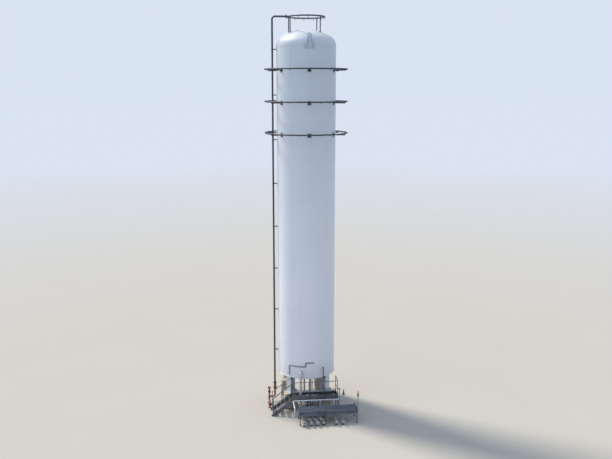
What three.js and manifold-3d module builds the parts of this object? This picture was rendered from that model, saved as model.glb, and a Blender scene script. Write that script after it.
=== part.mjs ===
// Vertical vacuum-insulated tank for liquefied gas, standing on four concrete piers, with its water-spray
// pipework, valve platform with stair, pressure-building vaporizer and the short pipes under and before it.
// Millimetres, +Z up, front towards -Y. The origin is on the ground, in the middle of the whole footprint.
import * as THREE from "three";
import { mergeVertices } from "three/addons/utils/BufferGeometryUtils.js";
import Module from "manifold-3d";

const wasm = await Module();
wasm.setup();

// Driving dimensions. Places are given from the tank's own axis, which stands TANK_X, TANK_Y off the origin.
const SEAT_GAP = 0.3;
const TANK_X = -210;
const TANK_Y = 870;

const SHELL_RADIUS = 1850;
const SHELL_WALL = 16;
const SHELL_SIDES = 48;
const SKIRT_BOTTOM = 2200;
const SECTION_HEIGHT = 6950;
const SECTION_NAMES = ["shell_lower", "shell_middle", "shell_upper"];
const HEAD_SEAM = SKIRT_BOTTOM + SECTION_NAMES.length * SECTION_HEIGHT;
const HEAD_FLANGE = 80;
const HEAD_DEPTH = 950;
const HEAD_STEPS = 5;
const BOTTOM_HEAD_TANGENT = 3250;
const NOZZLE_END = 2100;
const NOZZLE_Y = -150;

const LEG_OFFSET = 1131;
const LEG_SIZE = 400;
const LEG_PLATE = 20;
const PIER_SIZE = 860;
const PIER_HEIGHT = 1050;
const BASE_RING_THICKNESS = 40;

const RISER = new THREE.Vector3(-2090, -100, 0);
const RISER_RADIUS = 57;
const DELUGE_VALVE_FOOT = 900;
const DELUGE_VALVE_LENGTH = 380;
const SUPPLY_X = -2505;
const SUPPLY_LEVEL = 330;
const SUPPLY_END_Y = -1450;
const SPRAY_PIPE_RADIUS = 44.5;
const SPRAY_RING_RADIUS = 2560;
const SPRAY_LEVELS = { spray_ring_lower: 17800, spray_ring_middle: 19740, spray_ring_upper: 21700 };
const TOP_RING_RADIUS = 1130;
const TOP_RING_LEVEL = 24830;
const TOP_RING_POSTS = [47, 155, 205, 313];

const DECK_LEVEL = 1130;
const DECK_THICKNESS = 40;
const DECK_LEFT = -1050;
const DECK_RIGHT = 1800;
const DECK_BACK = -(LEG_OFFSET + PIER_SIZE / 2) - SEAT_GAP;
const DECK_FRONT = -2500;
const RAIL_RADIUS = 21;
const RAIL_HEIGHT = 1050;
const STAIR_FOOT_X = -2430;
const STAIR_STEPS = 6;

const VAPORIZER_LEFT = -870;
const VAPORIZER_RIGHT = 2820;
const VAPORIZER_BACK_TUBE = -3160;
const TUBE_PITCH = 168;
const TUBES_IN_ROW = 5;
const ROW_LEVELS = { vaporizer_row_lower: 600, vaporizer_row_upper: 780 };
const FIN_RADIUS = 82;
const TUBE_RADIUS = 20;

// Pipes under the tank: each has its place across the tank, its radius, and the nozzle that it hangs from.
const PIPE_END_Y = -4360;
const LOW_PIPE_Z = 280;
const FILL_X = -560;
const FILL_RADIUS = 84;
const FILL_UPRIGHT_Y = -1960;
const LIQUID_X = -130;
const LIQUID_RADIUS = 57;
const LIQUID_VALVE_BACK = -1760;
const LIQUID_VALVE_LENGTH = 360;
const RETURN_X = 250;
const RETURN_RADIUS = 66;
const GAS_X = 640;
const GAS_RADIUS = 50;
const GAS_LEVEL = 1060;
const GAS_Y = -2740;
const GAS_OUTLET_X = 1430;
const VENT_X = 2100;
const MANIFOLD_LEFT_X = -1130;
const FEED_X = 450;
const FEED_NOZZLE_Y = 350;
const FEED_RADIUS = 38;
const FEED_LEVEL = 420;
const MANIFOLD_RIGHT_X = 2960;
const DRAIN_X = 1850;
const DRAIN_Y = -2620;
const OVERFLOW_X = 930;
const OVERFLOW_END_X = 630;
const OVERFLOW_UPRIGHT_Y = -1750;
const OVERFLOW_TOP = 2800;
const OVERFLOW_RADIUS = 30;

const finish = (color, roughness, metalness) =>
  new THREE.MeshStandardMaterial({ color, roughness, metalness });
const whitePaint = finish(0xdfe3e8, 0.45, 0.0);
const greySteelPaint = finish(0x8b9198, 0.5, 0.2);
const galvanized = finish(0x7d848c, 0.5, 0.7);
const concrete = finish(0xb3ada2, 0.9, 0.0);
const cladding = finish(0xc9ced6, 0.35, 0.8);
const finMetal = finish(0x6b7380, 0.5, 0.8);
const redPaint = finish(0x7a2a2e, 0.5, 0.1);
const darkSteel = finish(0x4d545e, 0.55, 0.5);

const at = (x, y, z) => new THREE.Vector3(x, y, z);

// Turns a closed geometry into a solid, with its faces pointing out.
function solidOf(geometry) {
  const bare = geometry.index ? geometry.toNonIndexed() : geometry.clone();
  bare.deleteAttribute("normal");
  bare.deleteAttribute("uv");
  const merged = mergeVertices(bare, 1e-3);
  const corners = merged.index.array;
  const build = (flip) => {
    const triangles = [];
    for (let i = 0; i < corners.length; i += 3) {
      const [a, b, c] = [corners[i], corners[i + 1], corners[i + 2]];
      if (a === b || b === c || c === a) continue;
      triangles.push(...(flip ? [a, c, b] : [a, b, c]));
    }
    return new wasm.Manifold(
      new wasm.Mesh({
        numProp: 3,
        vertProperties: merged.attributes.position.array,
        triVerts: Uint32Array.from(triangles),
      }),
    );
  };
  const solid = build(false);
  return solid.volume() < 0 ? build(true) : solid;
}

// Crumbs that rounding leaves where two pipes' faces nearly meet are dropped; anything larger stays.
const CRUMB_MM3 = 500;
function geometryOf(whole) {
  const solid = wasm.Manifold.compose(whole.decompose().filter((body) => body.volume() > CRUMB_MM3));
  const mesh = solid.getMesh();
  return new THREE.BufferGeometry()
    .setAttribute("position", new THREE.BufferAttribute(mesh.vertProperties, 3))
    .setIndex(new THREE.BufferAttribute(mesh.triVerts, 1));
}

function fuse(...geometries) {
  return geometryOf(geometries.flat(2).map(solidOf).reduce((whole, next) => whole.add(next)));
}

function carve(geometry, ...cutters) {
  return geometryOf(
    cutters.flat().map(solidOf).reduce((left, next) => left.subtract(next), solidOf(geometry)),
  );
}

// A box between two opposite corners.
function block(low, high) {
  const size = high.clone().sub(low);
  const centre = low.clone().add(high).multiplyScalar(0.5);
  return new THREE.BoxGeometry(size.x, size.y, size.z).translate(centre.x, centre.y, centre.z);
}

// A plate that stands across +X, between two places along X, its outline given as y, z pairs.
function upright(outline, near, far) {
  const shape = new THREE.Shape(outline.map(([y, z]) => new THREE.Vector2(y, z)));
  const sheet = new THREE.ExtrudeGeometry(shape, { depth: far - near, bevelEnabled: false });
  const stand = new THREE.Matrix4().makeBasis(at(0, 1, 0), at(0, 0, 1), at(1, 0, 0));
  return sheet.applyMatrix4(stand).translate(near, 0, 0);
}

// A round disc or short cylinder that starts at a point and runs along a direction.
function disc(start, direction, radius, length, sides = 12) {
  const turn = new THREE.Quaternion().setFromUnitVectors(at(0, 1, 0), direction.clone().normalize());
  return new THREE.CylinderGeometry(radius, radius, length, sides)
    .translate(0, length / 2, 0)
    .applyQuaternion(turn)
    .translate(start.x, start.y, start.z);
}

// A profile of [radius, height] pairs spun round the vertical axis.
function spin(profile, sides = SHELL_SIDES) {
  const points = profile.map(([radius, height]) => new THREE.Vector2(radius, height));
  return new THREE.LatheGeometry(points, sides).rotateX(Math.PI / 2);
}

// A pipe's centreline: straight runs joined by round bends, with one station at each end of a run and a
// few round each bend, so that a long run costs no more faces than a short one.
class Route extends THREE.Curve {
  constructor(corners, bendRadius, bendSteps) {
    super();
    this.stations = [corners[0]];
    corners.slice(1, -1).forEach((corner, i) => {
      const back = corners[i].clone().sub(corner).normalize();
      const ahead = corners[i + 2].clone().sub(corner).normalize();
      const half = back.angleTo(ahead) / 2;
      const first = corner.clone().addScaledVector(back, bendRadius / Math.tan(half));
      const inward = back.clone().add(ahead).normalize();
      const centre = corner.clone().addScaledVector(inward, bendRadius / Math.sin(half));
      const arm = first.clone().sub(centre);
      const axis = ahead.clone().cross(back).normalize();
      for (let k = 0; k <= bendSteps; k++) {
        const swing = ((Math.PI - 2 * half) * k) / bendSteps;
        this.stations.push(arm.clone().applyAxisAngle(axis, swing).add(centre));
      }
    });
    this.stations.push(corners.at(-1));
  }
  getPoint(t, target = new THREE.Vector3()) {
    const place = t * (this.stations.length - 1);
    const i = Math.min(Math.floor(place + 1e-6), this.stations.length - 2);
    return target.lerpVectors(this.stations[i], this.stations[i + 1], place - i);
  }
  getPointAt(u, target) {
    return this.getPoint(u, target);
  }
  getTangentAt(u, target = new THREE.Vector3()) {
    const last = this.stations.length - 1;
    const i = Math.round(u * last);
    const [before, after] = [Math.max(i - 1, 0), Math.min(i + 1, last)];
    const into = this.stations[i].clone().sub(this.stations[before]).normalize();
    const out = this.stations[after].clone().sub(this.stations[i]).normalize();
    return target.copy(into).add(out).normalize();
  }
}

// A round bar or pipe along a route of corner points.
function pipe(corners, radius, { bend = 3 * radius, sides = 10, bendSteps = 3 } = {}) {
  const route = new Route(corners, bend, bendSteps);
  const section = [];
  for (let i = 0; i < sides; i++) {
    const angle = (2 * Math.PI * i) / sides;
    section.push(new THREE.Vector2(radius * Math.cos(angle), radius * Math.sin(angle)));
  }
  return new THREE.ExtrudeGeometry(new THREE.Shape(section), {
    steps: route.stations.length - 1,
    bevelEnabled: false,
    extrudePath: route,
  });
}

const rod = (from, to, radius, sides = 8) => pipe([from, to], radius, { sides });

// Points of a polar place: an angle in degrees round the tank, measured from +X, and a height.
function polar(radius, degrees, z) {
  const angle = THREE.MathUtils.degToRad(degrees);
  return at(radius * Math.cos(angle), radius * Math.sin(angle), z);
}

// Puts a piece modelled along +X, at the right of the tank, round to an angle.
function turned(geometry, degrees) {
  return geometry.rotateZ(THREE.MathUtils.degToRad(degrees));
}

const part = new THREE.Group();
const tank = new THREE.Group();
tank.position.set(TANK_X, TANK_Y, 0);
part.add(tank);

function add(name, geometry, material) {
  const mesh = new THREE.Mesh(geometry, material);
  mesh.name = name;
  tank.add(mesh);
}

// The outer shell is rolled plate in three lengths, and its lowest edge is the skirt.
function shellSection(bottom) {
  const inner = SHELL_RADIUS - SHELL_WALL;
  const top = bottom + SECTION_HEIGHT - SEAT_GAP;
  return spin([
    [SHELL_RADIUS, bottom],
    [SHELL_RADIUS, top],
    [inner, top],
    [inner, bottom],
    [SHELL_RADIUS, bottom],
  ]);
}

// Half an ellipse from its rim to its crown, as [radius, height above the rim].
function crown(radius, depth) {
  const points = [];
  for (let i = 0; i <= HEAD_STEPS; i++) {
    const angle = (Math.PI / 2) * (i / HEAD_STEPS);
    points.push([i === HEAD_STEPS ? 0 : radius * Math.cos(angle), depth * Math.sin(angle)]);
  }
  return points;
}

// A dished head: a straight flange and then half an ellipse, with the wall's real thickness.
function dishedHead(radius, flange) {
  const outer = crown(radius, HEAD_DEPTH).map(([r, z]) => [r, z + flange]);
  const inner = crown(radius - SHELL_WALL, HEAD_DEPTH - SHELL_WALL).map(([r, z]) => [r, z + flange]);
  return spin([[radius, 0], ...outer, ...inner.reverse(), [radius - SHELL_WALL, 0], [radius, 0]]);
}

// A nozzle under the bottom head: a neck that ends in a flange.
function bottomNozzle(x, y, radius) {
  const rim = SHELL_RADIUS - SHELL_WALL;
  const neckTop = BOTTOM_HEAD_TANGENT - HEAD_DEPTH * Math.sqrt(1 - (Math.hypot(x, y) / rim) ** 2) + 60;
  return [
    disc(at(x, y, NOZZLE_END), at(0, 0, 1), radius * 0.85, neckTop - NOZZLE_END),
    disc(at(x, y, NOZZLE_END), at(0, 0, 1), radius + 45, 26),
  ];
}

function bottomHead() {
  const dish = dishedHead(SHELL_RADIUS - SHELL_WALL - SEAT_GAP, 40)
    .rotateX(Math.PI)
    .translate(0, 0, BOTTOM_HEAD_TANGENT + 40);
  return fuse(
    dish,
    bottomNozzle(LIQUID_X, NOZZLE_Y, LIQUID_RADIUS),
    bottomNozzle(RETURN_X, NOZZLE_Y, RETURN_RADIUS),
    bottomNozzle(GAS_X, NOZZLE_Y, GAS_RADIUS),
    bottomNozzle(FEED_X, FEED_NOZZLE_Y, FEED_RADIUS),
  );
}

function baseRing() {
  const top = SKIRT_BOTTOM - SEAT_GAP;
  const bottom = top - BASE_RING_THICKNESS;
  return spin([
    [SHELL_RADIUS + 30, bottom],
    [SHELL_RADIUS + 30, top],
    [SHELL_RADIUS - 400, top],
    [SHELL_RADIUS - 400, bottom],
    [SHELL_RADIUS + 30, bottom],
  ]);
}

// An H-section leg with its web along the radius, a foot plate, a cap plate and two web stiffeners.
function leg(degrees) {
  const foot = PIER_HEIGHT + SEAT_GAP;
  const cap = SKIRT_BOTTOM - 2 * SEAT_GAP - BASE_RING_THICKNESS;
  const half = LEG_SIZE / 2;
  const radius = Math.SQRT2 * LEG_OFFSET;
  const column = [
    block(at(-half, -half, foot), at(-half + LEG_PLATE, half, cap)),
    block(at(half - LEG_PLATE, -half, foot), at(half, half, cap)),
    block(at(-half, -LEG_PLATE / 2, foot), at(half, LEG_PLATE / 2, cap)),
    block(at(-half - 70, -half - 70, foot), at(half + 70, half + 70, foot + 36)),
    block(at(-half - 40, -half - 40, cap - 24), at(half + 40, half + 40, cap)),
    block(at(-LEG_PLATE / 2, -half - 50, foot), at(LEG_PLATE / 2, half + 50, foot + 220)),
  ];
  return turned(fuse(column).translate(radius, 0, 0), degrees);
}

// A square concrete pier with chamfered upright edges.
function pier(x, y) {
  const half = PIER_SIZE / 2;
  const chamfer = 45;
  const outline = [];
  for (const [sx, sy] of [[1, 1], [-1, 1], [-1, -1], [1, -1]]) {
    const ends = [
      new THREE.Vector2(sx * half, sy * (half - chamfer)),
      new THREE.Vector2(sx * (half - chamfer), sy * half),
    ];
    outline.push(...(sx * sy > 0 ? ends : ends.reverse()));
  }
  return new THREE.ExtrudeGeometry(new THREE.Shape(outline), { depth: PIER_HEIGHT, bevelEnabled: false })
    .translate(x, y, 0);
}

// A lifting lug on the shell's top edge: a pad, a plate that narrows up to its eye, and two ribs that lean
// in along the plate's edges.
function liftingLug(degrees) {
  const seat = SHELL_RADIUS + SEAT_GAP;
  const foot = HEAD_SEAM - 180;
  const eye = HEAD_SEAM + 600;
  const [halfFoot, halfTop] = [240, 128];
  const outline = [[-halfFoot, foot + 60], [halfFoot, foot + 60], [halfTop, eye], [-halfTop, eye]];
  const lean = (low, high, near, far) => {
    const corners = [[low - 15, near], [low + 15, near], [high + 15, far], [high - 15, far]];
    return upright(corners, seat + 10, seat + 130);
  };
  const plate = fuse(
    block(at(seat, -280, foot), at(seat + 24, 280, foot + 300)),
    upright(outline, seat + 10, seat + 50),
    disc(at(seat + 10, 0, eye), at(1, 0, 0), 132, 40, 20),
    lean(-halfFoot, -halfTop - 32, foot + 60, foot + 560),
    lean(halfFoot, halfTop + 32, foot + 60, foot + 560),
  );
  const pierced = carve(plate, disc(at(seat - 10, 0, eye), at(1, 0, 0), 55, 100, 12));
  return turned(pierced, degrees);
}

// The fill port high on the back of the shell: a neck with a blind flange.
function fillPort(degrees, z) {
  const seat = SHELL_RADIUS + SEAT_GAP;
  return turned(
    fuse(
      disc(at(seat, 0, z), at(1, 0, 0), 200, 14, 20),
      disc(at(seat, 0, z), at(1, 0, 0), 125, 240, 20),
      disc(at(seat + 200, 0, z), at(1, 0, 0), 185, 56, 20),
    ),
    degrees,
  );
}

// The riser's clamps reach back to the shell, which stands a little way off the pipe.
function riserClamp(z) {
  return block(at(RISER.x, RISER.y - 25, z), at(-SHELL_RADIUS + 2, RISER.y + 25, z + 60));
}

function delugeRiser(bottom) {
  const upright = pipe(
    [at(RISER.x, RISER.y, bottom), at(RISER.x, RISER.y, TOP_RING_LEVEL), at(-TOP_RING_RADIUS - 100, RISER.y,
      TOP_RING_LEVEL)],
    RISER_RADIUS,
    { bend: 190 },
  );
  const clamps = [];
  for (let z = 3600; z < HEAD_SEAM; z += 2750) clamps.push(riserClamp(z));
  const shellSpace = spin([[0, 2000], [SHELL_RADIUS + SEAT_GAP, 2000], [SHELL_RADIUS + SEAT_GAP, HEAD_SEAM],
    [0, HEAD_SEAM]]);
  const endFlange = disc(at(-TOP_RING_RADIUS - 100, RISER.y, TOP_RING_LEVEL), at(-1, 0, 0), 105, 24);
  const footFlange = disc(at(RISER.x, RISER.y, bottom), at(0, 0, 1), 120, 26);
  return carve(fuse(upright, clamps, endFlange, footFlange), shellSpace);
}

// The supply comes along the ground from the front, turns right and then up to the valve. It rests on two
// stools, and a flanged upright branches off it.
function delugeSupply(top) {
  const run = pipe(
    [at(SUPPLY_X, SUPPLY_END_Y, SUPPLY_LEVEL), at(SUPPLY_X, RISER.y, SUPPLY_LEVEL),
      at(RISER.x, RISER.y, SUPPLY_LEVEL), at(RISER.x, RISER.y, top)],
    RISER_RADIUS,
    { bend: 150 },
  );
  const branch = at(SUPPLY_X, -640, SUPPLY_LEVEL);
  const stools = [-1150, -380].map((y) => [
    disc(at(SUPPLY_X, y, 0), at(0, 0, 1), 34, SUPPLY_LEVEL - 20, 8),
    disc(at(SUPPLY_X, y, 0), at(0, 0, 1), 105, 14, 10),
  ]);
  return fuse(
    run,
    disc(at(SUPPLY_X, SUPPLY_END_Y, SUPPLY_LEVEL), at(0, 1, 0), 112, 26, 16),
    disc(at(RISER.x, RISER.y, top - 26), at(0, 0, 1), 112, 26, 16),
    disc(branch, at(0, 0, 1), RISER_RADIUS - 6, 900, 10),
    disc(branch.clone().setZ(SUPPLY_LEVEL + 540), at(0, 0, 1), 104, 24, 16),
    disc(branch.clone().setZ(SUPPLY_LEVEL + 566), at(0, 0, 1), 104, 24, 16),
    disc(branch.clone().setZ(SUPPLY_LEVEL + 874), at(0, 0, 1), 104, 26, 16),
    stools,
  );
}

// A gate valve with flow along +Z when stem is +X: two flanges, a body, a bonnet, a stem and a handwheel.
function gateValve(length, flangeRadius, stemLength) {
  const middle = length / 2;
  const wheel = new THREE.TorusGeometry(flangeRadius * 1.05, 12, 6, 16)
    .rotateY(Math.PI / 2)
    .translate(stemLength, 0, middle);
  const spoke = block(
    at(stemLength - 8, -flangeRadius * 1.05, middle - 8),
    at(stemLength + 8, flangeRadius * 1.05, middle + 8),
  );
  return fuse(
    disc(at(0, 0, 0), at(0, 0, 1), flangeRadius, 28),
    disc(at(0, 0, length - 28), at(0, 0, 1), flangeRadius, 28),
    disc(at(0, 0, 10), at(0, 0, 1), flangeRadius * 0.62, length - 20),
    disc(at(0, 0, middle), at(1, 0, 0), flangeRadius * 0.55, stemLength * 0.5),
    disc(at(stemLength * 0.42, 0, middle), at(1, 0, 0), flangeRadius * 0.75, 30),
    disc(at(stemLength * 0.3, 0, middle), at(1, 0, 0), 16, stemLength * 0.75, 8),
    wheel,
    spoke,
  );
}

// A spray ring: a pipe round the tank on six arms from the shell, fed by a branch from the riser. The arms
// reach past the pipe, for the bolts that hold it down.
const ARM_END = 60;

function sprayRing(z) {
  const ring = new THREE.TorusGeometry(SPRAY_RING_RADIUS, SPRAY_PIPE_RADIUS, 6, 36).translate(0, 0, z);
  const arms = [];
  for (let degrees = 30; degrees < 390; degrees += 60) {
    const reach = block(at(SHELL_RADIUS - 20, -30, z - 104), at(SPRAY_RING_RADIUS + ARM_END, 30, z - 34));
    const pad = block(at(SHELL_RADIUS - 20, -110, z - 190), at(SHELL_RADIUS + 14, 110, z + 50));
    arms.push(turned(reach, degrees), turned(pad, degrees));
  }
  const branch = rod(
    at(RISER.x - RISER_RADIUS - 4, RISER.y, z),
    at(-SPRAY_RING_RADIUS, RISER.y, z),
    SPRAY_PIPE_RADIUS - 4,
  );
  const collar = disc(at(RISER.x - RISER_RADIUS - 4, RISER.y, z), at(-1, 0, 0), 90, 22);
  const shellSpace = spin([[0, z - 400], [SHELL_RADIUS + SEAT_GAP, z - 400], [SHELL_RADIUS + SEAT_GAP, z + 400],
    [0, z + 400]]);
  return carve(fuse(ring, arms, branch, collar), shellSpace);
}

// The small ring over the crown stands on four legs that are welded to the top head.
function topRing() {
  const ring = new THREE.TorusGeometry(TOP_RING_RADIUS, SPRAY_PIPE_RADIUS, 6, 30).translate(0, 0,
    TOP_RING_LEVEL);
  const legs = TOP_RING_POSTS.map((degrees) =>
    rod(polar(TOP_RING_RADIUS, degrees, TOP_RING_LEVEL), polar(TOP_RING_RADIUS, degrees, HEAD_SEAM + 700), 32));
  const inlet = rod(at(-TOP_RING_RADIUS - 100 + SEAT_GAP, RISER.y, TOP_RING_LEVEL),
    at(-TOP_RING_RADIUS + 20, RISER.y, TOP_RING_LEVEL), SPRAY_PIPE_RADIUS - 4);
  const collar = disc(at(-TOP_RING_RADIUS - 100 + SEAT_GAP, RISER.y, TOP_RING_LEVEL), at(1, 0, 0), 105, 24);
  const headSpace = dishedSpace(SHELL_RADIUS + SEAT_GAP, HEAD_DEPTH + SEAT_GAP);
  return carve(fuse(ring, legs, inlet, collar), headSpace);
}

// The space that the top head fills, for cutting what stands on it to its curve.
function dishedSpace(radius, depth) {
  const rim = HEAD_SEAM + HEAD_FLANGE;
  const curve = crown(radius, depth).map(([r, z]) => [r, z + rim]);
  return spin([[0, HEAD_SEAM], [radius, HEAD_SEAM], ...curve]);
}

// The valve platform's frame: edge channels, cross bars and six posts with foot plates.
function platformFrame() {
  const top = DECK_LEVEL - DECK_THICKNESS - SEAT_GAP;
  const bottom = top - 120;
  const pieces = [
    block(at(DECK_LEFT, DECK_FRONT, bottom), at(DECK_RIGHT, DECK_FRONT + 50, top)),
    block(at(DECK_LEFT, DECK_BACK - 50, bottom), at(DECK_RIGHT, DECK_BACK, top)),
  ];
  for (const x of [DECK_LEFT, 100, DECK_RIGHT - 50]) {
    pieces.push(block(at(x, DECK_FRONT, bottom), at(x + 50, DECK_BACK, top)));
    for (const y of [DECK_FRONT, DECK_BACK - 60]) {
      pieces.push(block(at(x, y, 0), at(x + 60, y + 60, top - 10)));
      pieces.push(block(at(x - 30, y - 30, 0), at(x + 90, y === DECK_FRONT ? y + 90 : DECK_BACK, 12)));
    }
  }
  return fuse(pieces);
}

// The grating deck, with a square hole for the fill line and one for the overflow line.
function platformDeck() {
  const slab = block(at(DECK_LEFT, DECK_FRONT, DECK_LEVEL - DECK_THICKNESS), at(DECK_RIGHT, DECK_BACK, DECK_LEVEL));
  const hole = (x, y, half) =>
    block(at(x - half, y - half, DECK_LEVEL - 100), at(x + half, y + half, DECK_LEVEL + 50));
  return carve(
    slab,
    hole(FILL_X, FILL_UPRIGHT_Y, FILL_RADIUS + 45),
    hole(OVERFLOW_X, OVERFLOW_UPRIGHT_Y, OVERFLOW_RADIUS + 45),
  );
}

// A run of handrail: posts along a line, with a top rail and a knee rail at the same slope.
function handrail(from, to, postCount, footDrop = 0) {
  const rise = (height) => at(0, 0, height);
  const pieces = [
    rod(from.clone().add(rise(RAIL_HEIGHT)), to.clone().add(rise(RAIL_HEIGHT)), RAIL_RADIUS),
    rod(from.clone().add(rise(RAIL_HEIGHT / 2)), to.clone().add(rise(RAIL_HEIGHT / 2)), RAIL_RADIUS - 6),
  ];
  for (let i = 0; i < postCount; i++) {
    const foot = from.clone().lerp(to, i / (postCount - 1));
    pieces.push(rod(foot.clone().add(rise(-footDrop)), foot.clone().add(rise(RAIL_HEIGHT + 8)), RAIL_RADIUS));
  }
  return pieces;
}

function platformRailing() {
  const level = DECK_LEVEL + SEAT_GAP;
  const inset = 40;
  const frontLeft = at(DECK_LEFT + inset, DECK_FRONT + inset, level);
  const frontRight = at(DECK_RIGHT - inset, DECK_FRONT + inset, level);
  const backRight = at(DECK_RIGHT - inset, DECK_BACK - inset, level);
  const kickFront = block(
    at(DECK_LEFT + inset, DECK_FRONT + inset - 4, level + 10),
    at(DECK_RIGHT - inset, DECK_FRONT + inset + 4, level + 110),
  );
  const kickRight = block(
    at(DECK_RIGHT - inset - 4, DECK_FRONT + inset, level + 10),
    at(DECK_RIGHT - inset + 4, DECK_BACK - inset, level + 110),
  );
  const kickBack = block(
    at(DECK_LEFT + inset, DECK_BACK - inset - 4, level + 10),
    at(DECK_RIGHT - inset, DECK_BACK - inset + 4, level + 110),
  );
  const backFeet = [-1, -0.36, 0.3].map((share) => {
    const x = (DECK_RIGHT - DECK_LEFT - 120) / 2 * share + (DECK_RIGHT + DECK_LEFT) / 2;
    return block(at(x - 20, DECK_BACK - inset - 24, level), at(x + 20, DECK_BACK - inset - 3, level + 70));
  });
  return fuse(
    handrail(frontLeft, frontRight, 4),
    handrail(frontRight, backRight, 2),
    kickFront,
    kickRight,
    kickBack,
    backFeet,
  );
}

// The stair goes down to the left: two plate stringers and the treads between them.
const STAIR_GOING = (DECK_LEFT - STAIR_FOOT_X - 60) / (STAIR_STEPS - 1);
const STAIR_RISE = DECK_LEVEL / STAIR_STEPS;

function stringer(y) {
  const slopeTop = DECK_LEVEL - 20;
  const outline = new THREE.Shape([
    new THREE.Vector2(STAIR_FOOT_X - 60, 0),
    new THREE.Vector2(STAIR_FOOT_X + 190, 0),
    new THREE.Vector2(DECK_LEFT - SEAT_GAP, slopeTop - 260),
    new THREE.Vector2(DECK_LEFT - SEAT_GAP, slopeTop),
    new THREE.Vector2(DECK_LEFT - 60, slopeTop),
    new THREE.Vector2(STAIR_FOOT_X - 60, 110),
  ]);
  return new THREE.ExtrudeGeometry(outline, { depth: 12, bevelEnabled: false })
    .rotateX(Math.PI / 2)
    .translate(0, y + 12, 0);
}

function stairFlight() {
  const pieces = [stringer(DECK_FRONT), stringer(DECK_BACK - 12)];
  for (let i = 1; i < STAIR_STEPS; i++) {
    const x = DECK_LEFT - 30 - (STAIR_STEPS - i) * STAIR_GOING;
    const z = i * STAIR_RISE;
    pieces.push(block(at(x, DECK_FRONT + 6, z - 36), at(x + STAIR_GOING + 20, DECK_BACK - 6, z)));
  }
  return fuse(pieces);
}

// A stair rail stands outside its stringer, each post bolted to it by a small plate at its foot.
function stairRail(face, out) {
  const seat = face + out * SEAT_GAP;
  const y = face + out * (RAIL_RADIUS + 8);
  const foot = at(STAIR_FOOT_X + 60, y, 190);
  const head = at(DECK_LEFT - 90, y, DECK_LEVEL);
  const plates = [0, 0.5, 1].map((share) => {
    const { x, z } = foot.clone().lerp(head, share);
    return block(at(x - 32, Math.min(seat, y), z - 60), at(x + 32, Math.max(seat, y), z + 20));
  });
  return fuse(handrail(foot, head, 3, 60), plates);
}

// One finned vaporizer tube along X: a star of fins, with a bare stretch of tube at each end.
function finnedTube(y, z) {
  const fins = 6;
  const outline = [];
  for (let i = 0; i < fins; i++) {
    const angle = (2 * Math.PI * i) / fins;
    const out = new THREE.Vector2(Math.cos(angle), Math.sin(angle));
    const side = new THREE.Vector2(-out.y, out.x).multiplyScalar(4);
    const root = out.clone().multiplyScalar(TUBE_RADIUS + 2);
    const tip = out.clone().multiplyScalar(FIN_RADIUS);
    outline.push(root.clone().sub(side), tip.clone().sub(side), tip.clone().add(side), root.clone().add(side));
  }
  const bare = 130;
  const length = VAPORIZER_RIGHT - VAPORIZER_LEFT - 2 * bare;
  const star = new THREE.ExtrudeGeometry(new THREE.Shape(outline), { depth: length, bevelEnabled: false })
    .rotateY(Math.PI / 2)
    .translate(VAPORIZER_LEFT + bare, y, z);
  return [star, rod(at(VAPORIZER_LEFT, y, z), at(VAPORIZER_RIGHT, y, z), TUBE_RADIUS, 6)];
}

// One row of the vaporizer: tubes side by side, joined end to end by return bends.
function vaporizerRow(z) {
  const pieces = [];
  for (let i = 0; i < TUBES_IN_ROW; i++) {
    const y = VAPORIZER_BACK_TUBE - i * TUBE_PITCH;
    pieces.push(finnedTube(y, z));
    if (i === TUBES_IN_ROW - 1) continue;
    const [x, out] = i % 2 === 0 ? [VAPORIZER_LEFT, -1] : [VAPORIZER_RIGHT, 1];
    pieces.push(
      pipe(
        [at(x - 10 * out, y, z), at(x + 70 * out, y, z), at(x + 70 * out, y - TUBE_PITCH, z),
          at(x - 10 * out, y - TUBE_PITCH, z)],
        TUBE_RADIUS - 2,
        { bend: 60, sides: 6, bendSteps: 2 },
      ),
    );
  }
  return fuse(pieces);
}

// A frame of the vaporizer: two posts on foot plates, with a bar under each row and one on top.
function vaporizerFrame(x) {
  const front = VAPORIZER_BACK_TUBE - (TUBES_IN_ROW - 1) * TUBE_PITCH - 100;
  const back = VAPORIZER_BACK_TUBE + 100;
  const top = ROW_LEVELS.vaporizer_row_upper + 130;
  const pieces = [
    block(at(x, front - 50, 0), at(x + 50, front, top)),
    block(at(x, back, 0), at(x + 50, back + 50, top)),
    block(at(x - 35, front - 85, 0), at(x + 85, front + 35, 12)),
    block(at(x - 35, back - 35, 0), at(x + 85, back + 85, 12)),
    block(at(x, front - 50, top - 40), at(x + 50, back + 50, top)),
  ];
  for (const level of Object.values(ROW_LEVELS)) {
    const under = level - TUBE_RADIUS - SEAT_GAP;
    pieces.push(block(at(x + 5, front - 10, under - 45), at(x + 45, back + 10, under)));
  }
  return fuse(pieces);
}

// The middle frame passes only under and over the rows, where the fins run on.
function vaporizerMiddleFrame(x) {
  const front = VAPORIZER_BACK_TUBE - (TUBES_IN_ROW - 1) * TUBE_PITCH - 100;
  const back = VAPORIZER_BACK_TUBE + 100;
  const top = ROW_LEVELS.vaporizer_row_upper + 130;
  const under = ROW_LEVELS.vaporizer_row_lower - FIN_RADIUS - SEAT_GAP;
  return fuse(
    block(at(x, front - 50, 0), at(x + 50, front, top)),
    block(at(x, back, 0), at(x + 50, back + 50, top)),
    block(at(x - 35, front - 85, 0), at(x + 85, front + 35, 12)),
    block(at(x - 35, back - 35, 0), at(x + 85, back + 85, 12)),
    block(at(x, front - 50, top - 40), at(x + 50, back + 50, top)),
    block(at(x + 5, front - 10, under - 50), at(x + 45, back + 10, under)),
  );
}

const flangeOut = (point, radius) => disc(point, at(0, 1, 0), radius + 48, 28, 16);
const flangeUp = (point, radius) => disc(point, at(0, 0, 1), radius + 45, 26, 16);

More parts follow.
